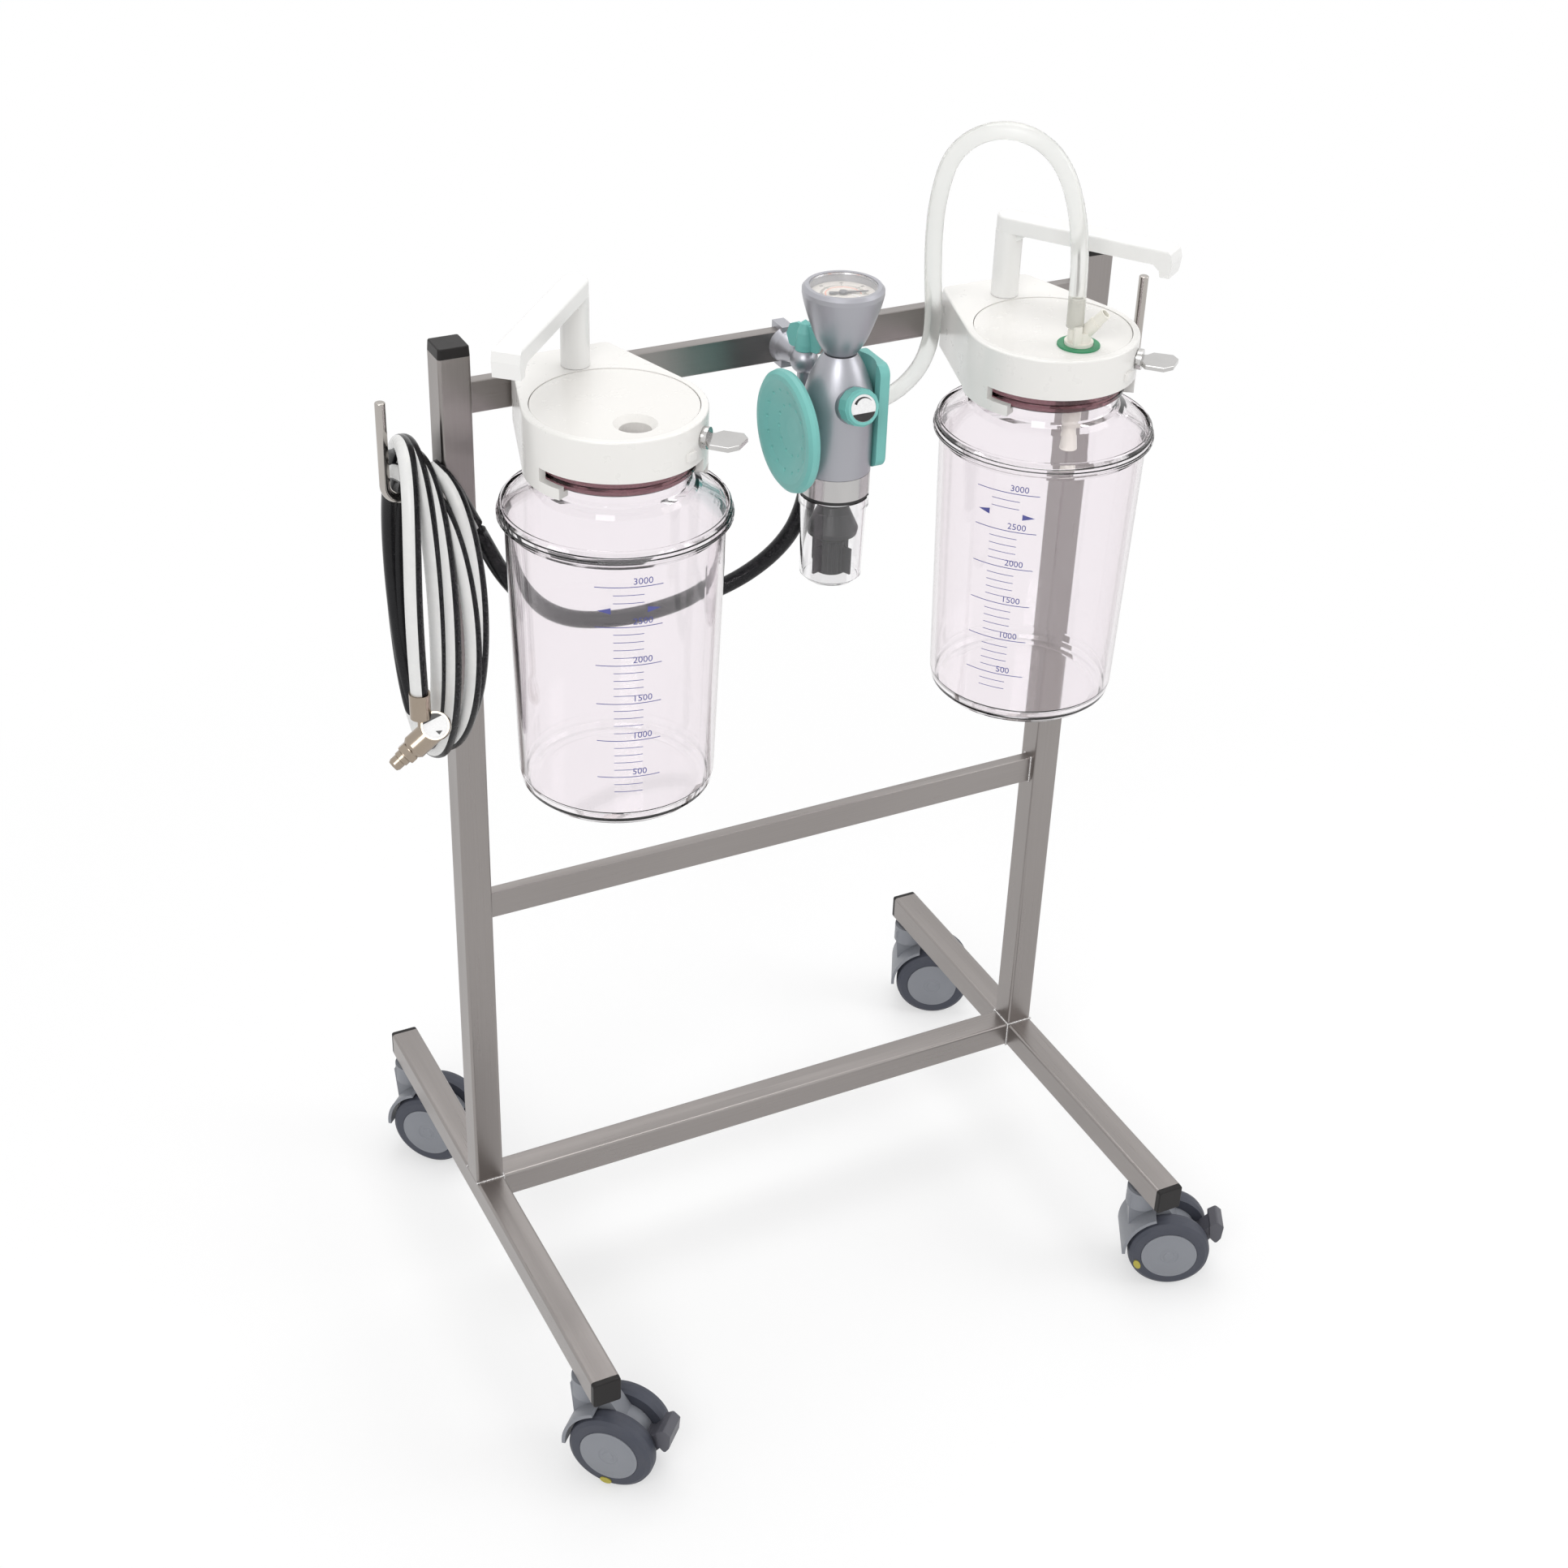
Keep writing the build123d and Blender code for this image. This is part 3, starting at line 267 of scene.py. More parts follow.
teal, tealShade = (0.190, 0.520, 0.480), (0.150, 0.430, 0.400)
finishes = {
    "verticalSteel": brushedSteel("upright_steel", 2, steelFinish),
    "depthSteel": brushedSteel("foot_steel", 1, steelFinish),
    "widthSteel": brushedSteel("bar_steel", 0, steelFinish),
    "rodSteel": polishedMetal("hook_rod_steel", (0.50, 0.47, 0.44), 0.16),
    "leverChrome": polishedMetal("lever_chrome", (0.62, 0.61, 0.60), 0.14),
    "nickel": polishedMetal("gland_nickel", (0.55, 0.51, 0.45), 0.2),
    "probeNickel": polishedMetal("probe_nickel", (0.40, 0.335, 0.27), 0.2),
    "trimSteel": polishedMetal("trim_steel", (0.56, 0.55, 0.545), 0.16),
    "zinc": polishedMetal("stem_zinc", (0.42, 0.42, 0.43), 0.28),
    "capBlack": mouldedPlastic(
        "cap_black", (0.012, 0.011, 0.011), (0.020, 0.018, 0.018), 0.38, 900.0, 0.12, 0.0, 0.2),
    "headWhite": mouldedPlastic(
        "head_white", (0.80, 0.79, 0.765), (0.77, 0.755, 0.73), 0.28, 1600.0, 0.03, 0.25),
    "lidWhite": mouldedPlastic(
        "lid_white", (0.775, 0.76, 0.735), (0.745, 0.73, 0.70), 0.24, 1600.0, 0.025, 0.3),
    "handleWhite": mouldedPlastic(
        "handle_white", (0.82, 0.815, 0.80), (0.79, 0.785, 0.77), 0.3, 1600.0, 0.03, 0.25),
    "connectorWhite": mouldedPlastic(
        "connector_white", (0.80, 0.78, 0.71), (0.77, 0.75, 0.68), 0.3, 1600.0, 0.03),
    "sealGreen": mouldedPlastic("seal_green", (0.035, 0.26, 0.115), (0.03, 0.22, 0.10), 0.4),
    "casterGrey": mouldedPlastic(
        "caster_grey", (0.235, 0.245, 0.27), (0.205, 0.215, 0.24), 0.42, 1100.0, 0.1),
    "pedalGrey": mouldedPlastic(
        "pedal_grey", (0.070, 0.070, 0.086), (0.085, 0.085, 0.10), 0.42, 1100.0, 0.1),
    "tyre": tyreRubber("caster_tyre"),
    "silver": silverPaint("regulator_silver", (0.42, 0.42, 0.455), (0.36, 0.36, 0.39)),
    "teal": mouldedPlastic("teal_plastic", teal, tealShade, 0.42, 1300.0, 0.06),
    "silencerBlack": mouldedPlastic(
        "silencer_black", (0.011, 0.011, 0.012), (0.020, 0.020, 0.022), 0.36, 1000.0, 0.08, 0.0, 0.3),
    "sealBlack": mouldedPlastic("seal_black", (0.012, 0.012, 0.012), (0.02, 0.02, 0.02), 0.5),
    "jarClear": clearPlastic("jar_clear", (0.945, 0.915, 0.935), 0.025, (0.24, 0.12, 0.14), 0.85),
    "bottleClear": clearPlastic("bottle_clear", (0.97, 0.965, 0.97), 0.03, (0.35, 0.33, 0.34), 0.5),
    "collarTint": clearPlastic("collar_tint", (0.24, 0.12, 0.135), 0.05, (0.07, 0.02, 0.03), 0.6),
    "lens": clearPlastic("gauge_lens", (0.98, 0.98, 0.98), 0.02, (0.7, 0.7, 0.7), 0.2),
    "dial": flatInk("dial_white", (0.50, 0.47, 0.43), 0.4),
    "needle": flatInk("needle_dark", (0.045, 0.045, 0.05), 0.35),
    "printBlue": flatInk("print_blue", (0.065, 0.07, 0.26), 0.4),
    "printBlack": flatInk("print_black", (0.012, 0.011, 0.011), 0.4),
    "printOrange": flatInk("print_orange", (0.62, 0.19, 0.10), 0.45),
    "printWhite": flatInk("print_white", (0.70, 0.70, 0.70), 0.35),
    "dotYellow": flatInk("dot_yellow", (0.36, 0.31, 0.04), 0.45),
    "hose": twoToneHose("hose_black_white"),
    "silicone": siliconeRubber("silicone_tube"),
}
print("finishes made:", len(finishes))


def dress(finish, *names):
    for name in names:
        data = nodes[name].data
        data.materials.clear()
        data.materials.append(finishes[finish])


def smoothByAngle(obj, degrees=32):
    for polygon in obj.data.polygons:
        polygon.use_smooth = True
    obj.data.set_sharp_from_angle(angle=math.radians(degrees))


def newPiece(name, data, finish, body, smooth=True):
    piece = bpy.data.objects.new(name, data)
    scene.collection.objects.link(piece)
    data.materials.clear()
    data.materials.append(finishes[finish])
    if smooth:
        smoothByAngle(piece)
    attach(piece, body)
    return piece


# Cords come first: one smooth line each, through the same points as the drawing
hose = {
    "radius": 6.75, "rings": 20,
    "route": [(-2.5, -49.45, 790.0), (-3.4, -49.1, 764), (-17, -42, 724), (-51, -26, 689), (-102, -17, 674),
              (-157, -16, 673), (-207, -19, 688), (-244, -24, 726), (-267, -26, 776), (-287, -26, 820)],
    "turns": [  # x over the hook, x at the front, top, bottom, half width at the front, half width at the back
        (-297, -274, 829, 596, 56, 52), (-315, -288, 822, 588, 58, 50),
        (-303, -301, 834, 583, 60, 54), (-309, -312, 846, 592, 57, 56)],
    "perTurn": 16, "sides": 0.85, "lean": 0.7,  # how square the turns are, and how soon they lean to the front
    "tail": [(-316, -14, 851), (-322, -40, 832), (-329, -58, 795), (-333, -66, 752), (-334, -69, 714),
             (-333.4, -68.4, 692), (-333, -68, 675)],
    # The white half faces the camera at the front of the coil, and the wall side behind it
    "view": (-0.39, -0.742, 0.545), "left": (-0.887, 0.46, 0), "rear": (0, 1, -0.4), "lead": (0, 0.55, -1),
    "leadEnd": -268, "coilBack": 4, "fade": 0.03,
}


def coilPoints(setup):
    points = []
    count = setup["perTurn"]
    turns = setup["turns"]
    for index, (xTop, xFront, top, bottom, front, back) in enumerate(turns):
        follow = turns[min(index + 1, len(turns) - 1)]
        for step in range(count):
            part = step / count
            angle = 2 * math.pi * part
            high = top + (follow[2] - top) * part
            middle, half = (high + bottom) / 2, (high - bottom) / 2
            width = front if angle < math.pi else back
            y = -width * math.copysign(abs(math.sin(angle)) ** setup["sides"], math.sin(angle))
            lean = max(0.0, math.sin(angle)) ** setup["lean"]
            x = xTop + (follow[0] - xTop) * part + (xFront - xTop) * lean
            points.append((x, y, middle + half * math.cos(angle)))
    return points


def splineThrough(name, route, bevel=0.0):
    data = bpy.data.curves.new(name, "CURVE")
    data.dimensions = "3D"
    spline = data.splines.new("NURBS")
    spline.points.add(len(route) - 1)
    for point, spot in zip(spline.points, route):
        point.co = (*at(*spot), 1)
    spline.order_u, spline.use_endpoint_u, spline.resolution_u = 3, True, 8
    data.bevel_depth, data.bevel_resolution, data.use_fill_caps = bevel, 6, bevel > 0
    data.resolution_u = 8
    return data


nearPoints = 0.0004  # points of a line closer than this are one


def readLine(route):
    probe = bpy.data.objects.new("line_reader", splineThrough("line_reader", route))
    scene.collection.objects.link(probe)
    bpy.context.view_layer.update()
    mesh = bpy.data.meshes.new_from_object(probe.evaluated_get(bpy.context.evaluated_depsgraph_get()))
    points = []
    for vert in mesh.vertices:
        if not points or (vert.co - points[-1]).length > nearPoints:
            points.append(vert.co.copy())
    bpy.data.objects.remove(probe)
    bpy.data.meshes.remove(mesh)
    return points


def lineLength(points):
    return sum((b - a).length for a, b in zip(points, points[1:]))


def paleSide(spot):
    if spot.x > at(hose["leadEnd"], 0, 0).x:
        return Vector(hose["lead"])
    behind = min(1.0, max(0.0, (spot.y - at(0, hose["coilBack"], 0).y) / hose["fade"]))
    return Vector(hose["view"]) * (1 - behind) + Vector(hose["left"]) * 0.35 + Vector(hose["rear"]) * behind


def hoseTube(name, line, radius, rings):
    mesh = bmesh.new()
    layer = mesh.loops.layers.uv.new("around")
    rows, run = [], 0.0
    for index, spot in enumerate(line):
        before, after = line[max(index - 1, 0)], line[min(index + 1, len(line) - 1)]
        along = (after - before).normalized()
        side = paleSide(spot)
        side = (side - along * side.dot(along)).normalized()
        other = along.cross(side)
        if index:
            run += (spot - line[index - 1]).length
        row = [mesh.verts.new(spot + (side * math.cos(a) + other * math.sin(a)) * radius)
               for a in (2 * math.pi * (n / rings) + math.pi for n in range(rings))]
        rows.append((row, run))
    for (low, lowRun), (high, highRun) in zip(rows, rows[1:]):
        for n in range(rings):
            face = mesh.faces.new((low[n], low[(n + 1) % rings], high[(n + 1) % rings], high[n]))
            face.smooth = True
            corners = ((n, lowRun), (n + 1, lowRun), (n + 1, highRun), (n, highRun))
            for loop, (around, reach) in zip(face.loops, corners):
                loop[layer].uv = (around / rings, reach)
    mesh.faces.new(list(reversed(rows[0][0])))
    mesh.faces.new(rows[-1][0])
    bmesh.ops.recalc_face_normals(mesh, faces=mesh.faces)
    data = bpy.data.meshes.new(name)
    mesh.to_mesh(data)
    mesh.free()
    return data


hoseRoute = hose["route"] + coilPoints(hose) + hose["tail"]
hoseLine = readLine(hoseRoute)
hoseMesh = hoseTube("air_hose", hoseLine, hose["radius"] / 1000, hose["rings"])
airHose = newPiece("air_hose", hoseMesh, "hose", "trolley", False)
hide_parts("hose_lead", "hose_coil")

silicone = {
    "radius": 6.6,
    "route": [(27.44, -58.16, 833.0), (54, -45.1, 833), (77.5, -42, 839), (94, -44, 855.5), (100, -48, 879),
              (98, -52, 906), (91, -58, 945), (84, -68, 985), (82, -77, 1014), (86.5, -81.4, 1038),
              (100, -92.6, 1055.6), (118.5, -108, 1062), (137, -123.4, 1055.6), (150.5, -134.6, 1038),
              (158.5, -141.5, 1012), (164, -144, 980), (165.3, -145, 949), (165.5, -145, 918)],
}
siliconeLength = lineLength(readLine(silicone["route"]))
siliconeCurve = splineThrough("clear_tube", silicone["route"], silicone["radius"] / 1000)
siliconeTube = newPiece("clear_tube", siliconeCurve, "silicone", "trolley", False)
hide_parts("silicone_tube")
print("silicone tube", round(siliconeLength, 3), "m")

# Finishes on the drawn pieces
dress("verticalSteel", "left_upright", "right_upright")
dress("depthSteel", "left_foot", "right_foot")
dress("widthSteel", "cross_beam", "middle_bar", "equipment_rail")
dress("capBlack", "upright_caps", "foot_caps")
dress("rodSteel", "left_hook", "right_hook")
dress("zinc", "caster_stems")
dress("headWhite", "left_jar_head", "right_jar_head")
dress("lidWhite", "left_lid", "right_lid")
dress("handleWhite", "left_handle", "right_handle")
dress("leverChrome", "left_lock_lever", "right_lock_lever")
dress("jarClear", "left_jar", "right_jar")
dress("collarTint", "left_neck_collar", "right_neck_collar")
dress("sealGreen", "port_seal")
dress("connectorWhite", "hose_connector")
dress("silver", "regulator_body", "gauge_housing", "rail_clamp")
dress("nickel", "hose_glands")
dress("probeNickel", "hose_probe")
dress("dial", "gauge_dial")
dress("needle", "gauge_needle")
dress("lens", "gauge_lens")
dress("teal", "hand_wheel", "adjust_knob", "side_cover", "clamp_wing_screw")
dress("trimSteel", "trim_ring")
dress("sealBlack", "bottle_seal")
dress("bottleClear", "silencer_bottle")
dress("silencerBlack", "silencer")
for caster in ("front_left", "front_right", "rear_left", "rear_right"):
    dress("casterGrey", f"{caster}_caster_housing")
    dress("tyre", f"{caster}_near_wheel", f"{caster}_far_wheel")
    if caster.startswith("front"):
        dress("pedalGrey", f"{caster}_brake_pedal")
for obj in nodes.values():
    smoothByAngle(obj, 28)
print("drawn pieces dressed")


# Print on the jars: graduations and arrows wrapped round the wall
jarPrint = {
    "left": {"axis": (-191.5, -109.0), "body": "left_jar_unit", "major": (-124.0, -88.6),
             "minor": (-114.6, -98.6), "number": -104.5},
    "right": {"axis": (170.5, -109.0), "body": "trolley", "major": (-158.0, -122.0),
              "minor": (-148.6, -132.6), "number": -138.5},
}
jarWall = {"radius": 74.5, "flare": 6.2, "low": 604.0, "high": 812.0, "lift": 0.12, "ink": 0.08}
scaleMarks = {3000: 798.5, 2500: 766.0, 2000: 734.0, 1500: 701.5, 1000: 669.5, 500: 637.5}
arrows = {"away": 9.5, "length": 7.0, "low": 777.0, "high": 782.0, "instead_of": (2600, 2700)}


def jarRadius(z):
    part = (z - jarWall["low"]) / (jarWall["high"] - jarWall["low"])
    return jarWall["radius"] + part * jarWall["flare"] + jarWall["lift"]


def wrapOnJar(axis, degrees, z, lift):
    angle = math.radians(degrees)
    radius = jarRadius(z) + lift
    return at(axis[0] + radius * math.cos(angle), axis[1] + radius * math.sin(angle), z)


def squareBar(mesh, rows):
    for one, two in zip(rows, rows[1:]):
        for n in range(4):
            mesh.faces.new((one[n], one[(n + 1) % 4], two[(n + 1) % 4], two[n]))
    mesh.faces.new(rows[0])
    mesh.faces.new(list(reversed(rows[-1])))


def curvedStrip(mesh, axis, start, end, low, high, steps, narrows=False):
    rows = []
    for n in range(steps + 1):
        part = n / steps
        a = start + (end - start) * part
        inset = (high - low) * 0.5 * part if narrows else 0.0
        bottom, top, ink = low + inset, high - inset, jarWall["ink"]
        corners = ((bottom, 0.0), (top, 0.0), (top, ink), (bottom, ink))
        rows.append([mesh.verts.new(wrapOnJar(axis, a, z, lift)) for z, lift in corners])
    squareBar(mesh, rows)


def textMesh(words, size, depth, align):
    data = bpy.data.curves.new("figures", "FONT")
    data.body, data.size, data.extrude, data.align_x = words, size, depth, align
    data.resolution_u = 3
    obj = bpy.data.objects.new("figures", data)
    scene.collection.objects.link(obj)
    bpy.context.view_layer.update()
    mesh = bpy.data.meshes.new_from_object(obj.evaluated_get(bpy.context.evaluated_depsgraph_get()))
    bpy.data.objects.remove(obj)
    return mesh


figureSize, figureDepth = 7.4, 0.04
for side, setup in jarPrint.items():
    mesh = bmesh.new()
    for value in range(300, 3001, 100):
        z = scaleMarks[500] + (value - 500) * (scaleMarks[3000] - scaleMarks[500]) / 2500
        if value in scaleMarks:
            curvedStrip(mesh, setup["axis"], *setup["major"], scaleMarks[value] - 0.3, scaleMarks[value] + 0.3, 20)
        elif value not in arrows["instead_of"]:
            curvedStrip(mesh, setup["axis"], *setup["minor"], z - 0.25, z + 0.25, 12)
    centre = sum(setup["major"]) / 2
    for sign in (-1, 1):
        start = centre + sign * arrows["away"]
        end = start + sign * arrows["length"]
        curvedStrip(mesh, setup["axis"], start, end, arrows["low"], arrows["high"], 10, True)
    for value, z in scaleMarks.items():
        figures = textMesh(str(value), figureSize, figureDepth, "LEFT")
        for vert in figures.vertices:
            x, y, up = vert.co
            degrees = setup["number"] + math.degrees(x / jarRadius(z))
            vert.co = wrapOnJar(setup["axis"], degrees, z + 2.0 + y, figureDepth + up)
        mesh.from_mesh(figures)
        bpy.data.meshes.remove(figures)
    bmesh.ops.recalc_face_normals(mesh, faces=mesh.faces)
    data = bpy.data.meshes.new(f"{side}_jar_scale")
    mesh.to_mesh(data)
    mesh.free()
    scale = newPiece(f"{side}_jar_scale", data, "printBlue", setup["body"], False)
print("jar scales printed")


# Gauge dial print
gauge = {"centre": (0.5, -85.0), "face": 944.5, "start": 205.0, "end": -25.0, "outer": 18.5, "inner": 15.2,
         "figures": 21.3, "arc": 13.2, "marks": 50, "long": 1.2, "numbers": 5}


def dialPoint(radius, degrees, z):
    a = math.radians(degrees)
    return at(gauge["centre"][0] + radius * math.cos(a), gauge["centre"][1] + radius * math.sin(a), z)


def dialArc(mesh, inner, outer, start, end, steps, z=gauge["face"], thick=0.12):
    corners = ((inner, z), (outer, z), (outer, z + thick), (inner, z + thick))
    squareBar(mesh, [[mesh.verts.new(dialPoint(r, start + (end - start) * n / steps, h)) for r, h in corners]
                     for n in range(steps + 1)])


def closeMesh(mesh, name, finish, body, smooth=False):
    bmesh.ops.remove_doubles(mesh, verts=mesh.verts, dist=1e-7)
    bmesh.ops.recalc_face_normals(mesh, faces=mesh.faces)
    data = bpy.data.meshes.new(name)
    mesh.to_mesh(data)
    mesh.free()
    newPiece(name, data, finish, body, smooth)


black, orange = bmesh.new(), bmesh.new()
sweep = gauge["end"] - gauge["start"]
for n in range(gauge["marks"] + 1):
    degrees = gauge["start"] + sweep * n / gauge["marks"]
    if n % 10 == 0:
        dialArc(black, gauge["inner"] - gauge["long"], gauge["outer"], degrees - 0.9, degrees + 0.9, 2)
    else:
        dialArc(black, gauge["inner"], gauge["outer"] - gauge["long"], degrees - 0.45, degrees + 0.45, 2)
for n in range(gauge["numbers"] + 1):
    figures = textMesh(str(n * 20), 3.0, 0.06, "CENTER")
    middle = dialPoint(gauge["figures"], gauge["start"] + sweep * n / gauge["numbers"], gauge["face"] + 0.06)
    for vert in figures.vertices:
        vert.co = middle + (vert.co - Vector((0, 1.1, 0))) * 0.001
    black.from_mesh(figures)
    bpy.data.meshes.remove(figures)
dialArc(orange, gauge["arc"] - 0.35, gauge["arc"] + 0.35, gauge["start"], gauge["end"], 60)
for degrees, length in ((-62, 5.0), (-90, 6.5), (-118, 5.0)):
    dialArc(orange, 15.5, 16.6, degrees - length, degrees + length, 8)
closeMesh(black, "dial_scale", "printBlack", "trolley")
closeMesh(orange, "dial_arc", "printOrange", "trolley")
white = bmesh.new()
dialArc(white, 8.5, 23.5, -71.5, -68.5, 4, gauge["face"] + 2.0, 0.5)
closeMesh(white, "set_pointer", "printWhite", "trolley")

# Label on the front knob: white face, tapering arc and dark lower segment
knobLabel = {"axis": (0.5, -85.0, 861.0), "tilt": 15.0, "front": 40.45, "radius": 10.2, "sweep": 8.4, "brush": 2.1}


def knobPoint(u, v, out):
    tilt = math.radians(knobLabel["tilt"])
    x0, y0, z0 = knobLabel["axis"]
    reach = knobLabel["front"] + out
    return at(x0 + u, y0 - reach * math.cos(tilt) + v * math.sin(tilt),
              z0 + reach * math.sin(tilt) + v * math.cos(tilt))


def raisedPlate(mesh, place, outline, low, high):
    bottom = [mesh.verts.new(place(u, v, low)) for u, v in outline]
    top = [mesh.verts.new(place(u, v, high)) for u, v in outline]
    count = len(outline)
    for n in range(count):
        mesh.faces.new((bottom[n], bottom[(n + 1) % count], top[(n + 1) % count], top[n]))
    mesh.faces.new(list(reversed(bottom)))
    mesh.faces.new(top)


def circlePoint(radius, degrees):
    return radius * math.cos(math.radians(degrees)), radius * math.sin(math.radians(degrees))


face = bmesh.new()
raisedPlate(face, knobPoint, [circlePoint(knobLabel["radius"], n * 7.5) for n in range(48)], 0.05, 0.45)
closeMesh(face, "knob_label", "printWhite", "adjust_knob")
ink = bmesh.new()
segment = [circlePoint(knobLabel["radius"] - 0.15, 202 + n * (136 / 24)) for n in range(25)]
raisedPlate(ink, knobPoint, segment, 0.45, 0.55)
sweepOut = [circlePoint(knobLabel["sweep"], 150 - n * 6.2) for n in range(20)]
sweepIn = [circlePoint(knobLabel["sweep"] - knobLabel["brush"] * (1 - n / 19.0) - 0.15, 150 - n * 6.2)
           for n in range(20)]
raisedPlate(ink, knobPoint, sweepOut + list(reversed(sweepIn)), 0.45, 0.55)
closeMesh(ink, "knob_label_ink", "printBlack", "adjust_knob")
print("regulator print done")

# Label on the probe, plain white with a dark segment
probe = {"middle": (-320.7, -69, 644.5), "front": (-0.39, -0.742, 0.545), "reach": 11.32, "radius": 9.45}


def probePoint(u, v, out):
    outward = Vector(probe["front"]).normalized()
    across = Vector((0, 0, 1)).cross(outward).normalized()
    up = outward.cross(across)
    return at(*(Vector(probe["middle"]) + outward * (probe["reach"] + out) + across * u + up * v))


plate = bmesh.new()
raisedPlate(plate, probePoint, [circlePoint(probe["radius"], n * 10) for n in range(36)], 0.0, 0.3)
closeMesh(plate, "probe_label", "printWhite", "trolley")
dark = bmesh.new()
raisedPlate(dark, probePoint, [circlePoint(probe["radius"] - 0.2, 60 + n * 6.2) for n in range(20)], 0.3, 0.42)
raisedPlate(dark, probePoint, [(0.4, -4.0), (3.4, -6.6), (5.6, -3.3)], 0.3, 0.42)
closeMesh(dark, "probe_label_ink", "printBlack", "trolley")


# Weld beads: small overlapping scales laid along a path with Geometry Nodes
weld = {"scale": 1.15, "step": 1.5, "vary": (0.82, 1.15), "finish": "trimSteel"}


def scalesAlong(name, setup):
    tree = bpy.data.node_groups.new(name, "GeometryNodeTree")
    tree.interface.new_socket("Geometry", in_out="INPUT", socket_type="NodeSocketGeometry")
    for label, value in (("Scale size", setup["scale"] / 1000), ("Spacing", setup["step"] / 1000)):
        socket = tree.interface.new_socket(label, in_out="INPUT", socket_type="NodeSocketFloat")
        socket.default_value = value
    tree.interface.new_socket("Geometry", in_out="OUTPUT", socket_type="NodeSocketGeometry")
    make, link = tree.nodes.new, tree.links.new
    start, end = make("NodeGroupInput"), make("NodeGroupOutput")
    curve, spread = make("GeometryNodeMeshToCurve"), make("GeometryNodeResampleCurve")
    spread.mode = "LENGTH"
    ball = make("GeometryNodeMeshIcoSphere")
    ball.inputs["Subdivisions"].default_value = 2
    place, size = make("GeometryNodeInstanceOnPoints"), make("FunctionNodeRandomValue")
    size.data_type = "FLOAT"
    size.inputs[2].default_value, size.inputs[3].default_value = setup["vary"]
    size.inputs["Seed"].default_value = 7
    real, paint = make("GeometryNodeRealizeInstances"), make("GeometryNodeSetMaterial")
    paint.inputs["Material"].default_value = finishes[setup["finish"]]
    link(start.outputs["Geometry"], curve.inputs[0])
    link(curve.outputs[0], spread.inputs["Curve"])
    link(start.outputs["Spacing"], spread.inputs["Length"])
    link(start.outputs["Scale size"], ball.inputs["Radius"])
    link(spread.outputs[0], place.inputs["Points"])
    link(ball.outputs[0], place.inputs["Instance"])
    link(size.outputs[1], place.inputs["Scale"])
    link(place.outputs[0], real.inputs[0])
    link(real.outputs[0], paint.inputs["Geometry"])
    link(paint.outputs[0], end.inputs[0])
    return tree


def growOn(name, data, tree, body, finish):
    base = bpy.data.objects.new(name, data)
    scene.collection.objects.link(base)
    modifier = base.modifiers.new("grow", "NODES")
    modifier.node_group = tree
    bpy.context.view_layer.update()
    grown = bpy.data.meshes.new_from_object(base.evaluated_get(bpy.context.evaluated_depsgraph_get()))
    base.modifiers.remove(modifier)
    bpy.data.objects.remove(base)
    return newPiece(name, grown, finish, body)


stand = {"spread": 275.0, "half": 12.5, "tube": 25.0, "bars": (405.0, 862.5), "barHalf": 5.0, "beam": 125.0,
         "beamLow": 100.5, "hook": 803, "rod": 4.6}
weldRuns = []
for side in (-1, 1):
    x, half = side * stand["spread"], stand["half"]
    for y in (-half - 0.2, half + 0.2):
        weldRuns.append([(x - half, y, stand["beam"] + 0.3), (x + half, y, stand["beam"] + 0.3)])
    inner, outer = x - side * (half + 0.2), x + side * (half + 0.3)
    for low in stand["bars"]:
        for y in (-stand["barHalf"] - 0.2, stand["barHalf"] + 0.2):
            weldRuns.append([(inner, y, low), (inner, y, low + stand["tube"])])
        weldRuns.append([(inner, -stand["barHalf"], low - 0.2), (inner, stand["barHalf"], low - 0.2)])
    for y in (-half - 0.1, half + 0.1):
        weldRuns.append([(inner, y, stand["beamLow"]), (inner, y, stand["beam"])])
    weldRuns.append([(inner, -half, stand["beam"] + 0.2), (inner, half, stand["beam"] + 0.2)])
    weldRuns.append([(outer, stand["rod"] * math.cos(n * math.pi / 8),
                      stand["hook"] + stand["rod"] * math.sin(n * math.pi / 8)) for n in range(17)])
verts, edges = [], []
for run in weldRuns:
    edges += [(len(verts) + n, len(verts) + n + 1) for n in range(len(run) - 1)]
    verts += [at(*p) for p in run]
weldPaths = bpy.data.meshes.new("weld_paths")
weldPaths.from_pydata(verts, edges, [])
beads = growOn("weld_beads", weldPaths, scalesAlong("weld_bead", weld), "trolley", weld["finish"])
print("weld beads laid")

# Wheel covers: stepped discs with a small centre cap, and the yellow dots of the braked casters
wheelCover = {
    "trail": 28.0, "axle": 37.5, "half": 27.3, "segments": 48,
    "profile": [  # radius, height
        (0.0, 1.5), (4.5, 1.5), (5.2, 0.9), (8.0, 0.75), (8.6, 1.15), (21.5, 0.95), (22.3, 0.45), (25.4, 0.35),
        (25.4, -0.5), (0.0, -0.5)],
}
brakeDot = {"reach": 31.0, "radius": 3.0, "long": 5.2, "segments": 20, "low": -0.9, "high": 0.25,
            "spin": {"front_left": -95, "front_right": 205}}
casterPlaces = {  # x, y, heading
    "front_left": (-275, -238, -45.0), "front_right": (275, -238, -29.0),
    "rear_left": (-275, 206, -45.0), "rear_right": (275, 206, -30.0)}


def coverPoint(place, side, radius, degrees, out):
    x0, y0, heading = place
    h = math.radians(heading)
    lx = wheelCover["trail"] + radius * math.cos(math.radians(degrees))
    lz = wheelCover["axle"] + radius * math.sin(math.radians(degrees))
    ly = -side * (wheelCover["half"] + out)
    return at(x0 + lx * math.cos(h) - ly * math.sin(h), y0 + lx * math.sin(h) + ly * math.cos(h), lz)


